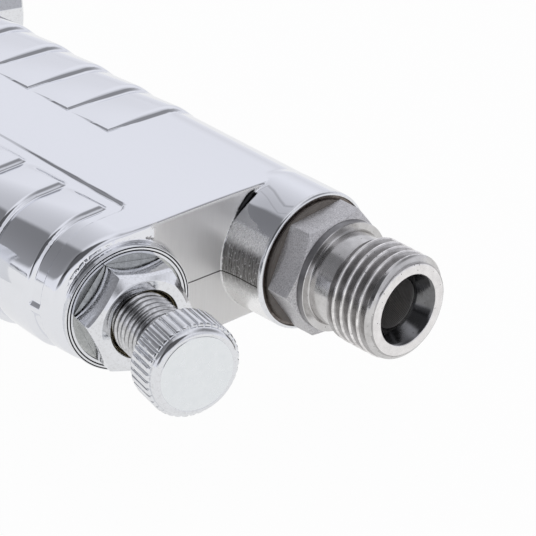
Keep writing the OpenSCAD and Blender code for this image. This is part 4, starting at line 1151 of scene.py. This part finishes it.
def make_floor():
    """White to the camera and nearly so in mirrors, and still a floor that takes shadows."""
    z = cad_box[0][2] - 0.0001
    half = 2.5
    mesh = bpy.data.meshes.new("floor")
    corners = [(-half, -half, z), (half, -half, z), (half, half, z), (-half, half, z)]
    mesh.from_pydata(corners, [], [(0, 1, 2, 3)])
    floor = added("studio_floor", mesh)
    paper = bpy.data.materials.new("white_acrylic")
    paper.use_nodes = True
    tree = paper.node_tree
    shader = tree.nodes["Principled BSDF"]
    shader.inputs["Base Color"].default_value = (0.93, 0.93, 0.935, 1)
    shader.inputs["Roughness"].default_value = 0.4
    glow = add_node(tree, "ShaderNodeEmission", {"Color": (1, 1, 1, 1)})
    path = tree.nodes.new("ShaderNodeLightPath").outputs
    seen = math_node(tree, "MULTIPLY", path["Is Camera Ray"], FLOOR_SEEN)
    amount = math_node(tree, "MULTIPLY_ADD", path["Is Glossy Ray"], FLOOR_MIRRORED, seen)
    inputs = {"Fac": amount, 1: shader.outputs["BSDF"], 2: glow.outputs["Emission"]}
    mix = add_node(tree, "ShaderNodeMixShader", inputs)
    tree.links.new(mix.outputs["Shader"], tree.nodes["Material Output"].inputs["Surface"])
    mesh.materials.append(paper)


def card_light(tree, where, direction, half_width, half_height, soft_across, soft_up, dark, tilt):
    """Brightness of the tent with one card in it: dark inside the card, 1 away from it."""
    middle = Vector(direction).normalized()
    side = Vector((0, 0, 1)).cross(middle).normalized()
    top = middle.cross(side)
    side, top = side * math.cos(tilt) + top * math.sin(tilt), top * math.cos(tilt) - side * math.sin(tilt)

    def along(axis):
        product = add_node(tree, "ShaderNodeVectorMath", {0: where, 1: axis}, operation="DOT_PRODUCT")
        return product.outputs["Value"]

    ahead = along(middle)
    inside = math_node(tree, "GREATER_THAN", ahead, 0.0)
    ahead = math_node(tree, "MAXIMUM", ahead, 0.05)
    for axis, half_size, soft in ((side, half_width, soft_across), (top, half_height, soft_up)):
        off = math_node(tree, "ABSOLUTE", math_node(tree, "DIVIDE", along(axis), ahead))
        inputs = {"Value": off, "From Min": half_size + soft, "From Max": half_size - soft}
        edge = add_node(tree, "ShaderNodeMapRange", inputs, interpolation_type="SMOOTHSTEP")
        inside = math_node(tree, "MULTIPLY", inside, edge.outputs["Result"])
    return math_node(tree, "SUBTRACT", 1.0, math_node(tree, "MULTIPLY", inside, 1.0 - dark))


def make_studio():
    scene = bpy.context.scene
    scene.view_settings.view_transform = "Standard"
    make_floor()
    world = bpy.data.worlds.new("light_tent")
    scene.world = world
    world.use_nodes = True
    tree = world.node_tree
    tree.nodes.clear()
    where = tree.nodes.new("ShaderNodeTexCoord").outputs["Generated"]
    light = TENT_LIGHT
    for card in CARDS:
        light = math_node(tree, "MULTIPLY", card_light(tree, where, *card), light)
    tent = add_node(tree, "ShaderNodeBackground", {"Color": (0.955, 0.965, 1.03, 1), "Strength": light})
    sky = add_node(tree, "ShaderNodeBackground", {"Color": (1, 1, 1, 1)})
    seen = tree.nodes.new("ShaderNodeLightPath").outputs["Is Camera Ray"]
    mix = add_node(tree, "ShaderNodeMixShader", {"Fac": seen, 1: tent.outputs[0], 2: sky.outputs[0]})
    add_node(tree, "ShaderNodeOutputWorld", {"Surface": mix.outputs[0]})


def dress():
    nickel = turned_nickel("spindle_nickel")
    chrome = bright_chrome()
    lever = plated_lever()
    satin = satin_plate()
    brass = worn_brass("turned_brass", (0.78, 0.60, 0.30), (0.60, 0.43, 0.18), 0.22)
    cut_chrome = dark_chrome("cut_thread_chrome", (0.74, 0.74, 0.75), (0.46, 0.46, 0.46), 0.10)
    # Painted shade: darker chrome for the flow screw's thread roots.
    shaded_root_chrome = dark_chrome("thread_root_shade", (0.30, 0.30, 0.30), (0.16, 0.16, 0.16), 0.2)
    # Painted shade: near black chrome for the flow boss's grooves.
    shadowed = dark_chrome("groove_shade_chrome", (0.06, 0.06, 0.062), (0.03, 0.03, 0.032), 0.3)
    # Darker brownish plate for the boss rim's seal groove.
    dark_groove_plate = dark_chrome("dark_seal_groove", (0.30, 0.27, 0.25), (0.12, 0.10, 0.09), 0.35)
    seat = dark_chrome("seat_chrome", (0.56, 0.57, 0.56), (0.40, 0.41, 0.40), 0.22)
    bore_brass = worn_brass("bare_brass_thread", (0.33, 0.28, 0.15), (0.15, 0.12, 0.06), 0.3)
    wire = turned_nickel("drawn_wire", (0.55, 0.55, 0.56), (0.45, 0.45, 0.46))
    nitrile = moulded("black_nitrile", (0.020, 0.020, 0.021), (0.035, 0.035, 0.036), 0.45, 2500)
    pressed = moulded("brown_fibre", (0.13, 0.115, 0.10), (0.30, 0.27, 0.24), 0.45, 2600)
    fibre = moulded("grey_fibre", (0.12, 0.12, 0.12), (0.2, 0.2, 0.19), 0.7, 3000)
    red = moulded("red_button", (0.55, 0.03, 0.025), (0.64, 0.05, 0.04), 0.25, 900, 0.00003)
    enamel = moulded("black_enamel", (0.03, 0.03, 0.033), (0.045, 0.045, 0.05), 0.3, 1200, 0.00003)
    dial = moulded("white_dial", (0.86, 0.86, 0.84), (0.92, 0.92, 0.90), 0.55, 3000, 0.00002)
    ink = moulded("black_ink", (0.015, 0.015, 0.016), (0.03, 0.03, 0.03), 0.5, 2000, 0.00002)
    rubber = moulded("boot_rubber", (0.028, 0.03, 0.033), (0.045, 0.047, 0.05), 0.55, 1600, 0.00012)
    finishes = [
        (brass, "inlet_strainer valve_seat front_depressor rear_depressor dial_screws pinion_arbor"),
        (brass, "sector_gear movement_plates bourdon_tube"),
        (nitrile, "flow_o_ring valve_disc plug_o_ring bleed_seal front_chuck_seal rear_chuck_seal"),
        (wire, "valve_spring pin_clips bleed_spring front_chuck_spring rear_chuck_spring tube_link"),
        (fibre, "stem_packing outlet_washer gauge_washer"),
        (nickel, "valve_stem trigger_pin"),
        (pressed, "inlet_washer"),
        (red, "bleed_button"),
        (chrome, "stem_tube"),
        (enamel, "gauge_case"),
        (clear_lens(), "gauge_lens"),
        (dial, "gauge_dial"),
        (ink, "gauge_pointer"),
    ]
    for material, names in finishes:
        for name in names.split():
            cover(NODES[name].data, material)
    make_casting()
    make_nipple()
    make_flow_boss_face(chrome, shadowed, seat)
    make_gland_nut(chrome, bore_brass)
    make_flow_screw(cut_chrome, shaded_root_chrome)
    make_boss_rim(chrome, dark_groove_plate)
    tree = ring_tree()
    make_knob(tree, chrome, satin)
    make_dial_print(tree, ink)
    make_boot_ribs(tree, rubber)
    ease_edges("trigger", "trigger_lever", lever, 0.7, 3)
    ease_edges("gauge_boot", "gun", rubber, 0.3, 2)
    ease_edges("gauge_socket", "gun", brass)
    for node in ("valve_plug", "packing_nut", "bleed_sleeve", "outlet_adapter", "tube_nut", "chuck_body",
                 "front_chuck_cap", "rear_chuck_cap", "gauge_bezel"):
        ease_edges(node, "gun", chrome)


place_camera()
make_studio()
dress()
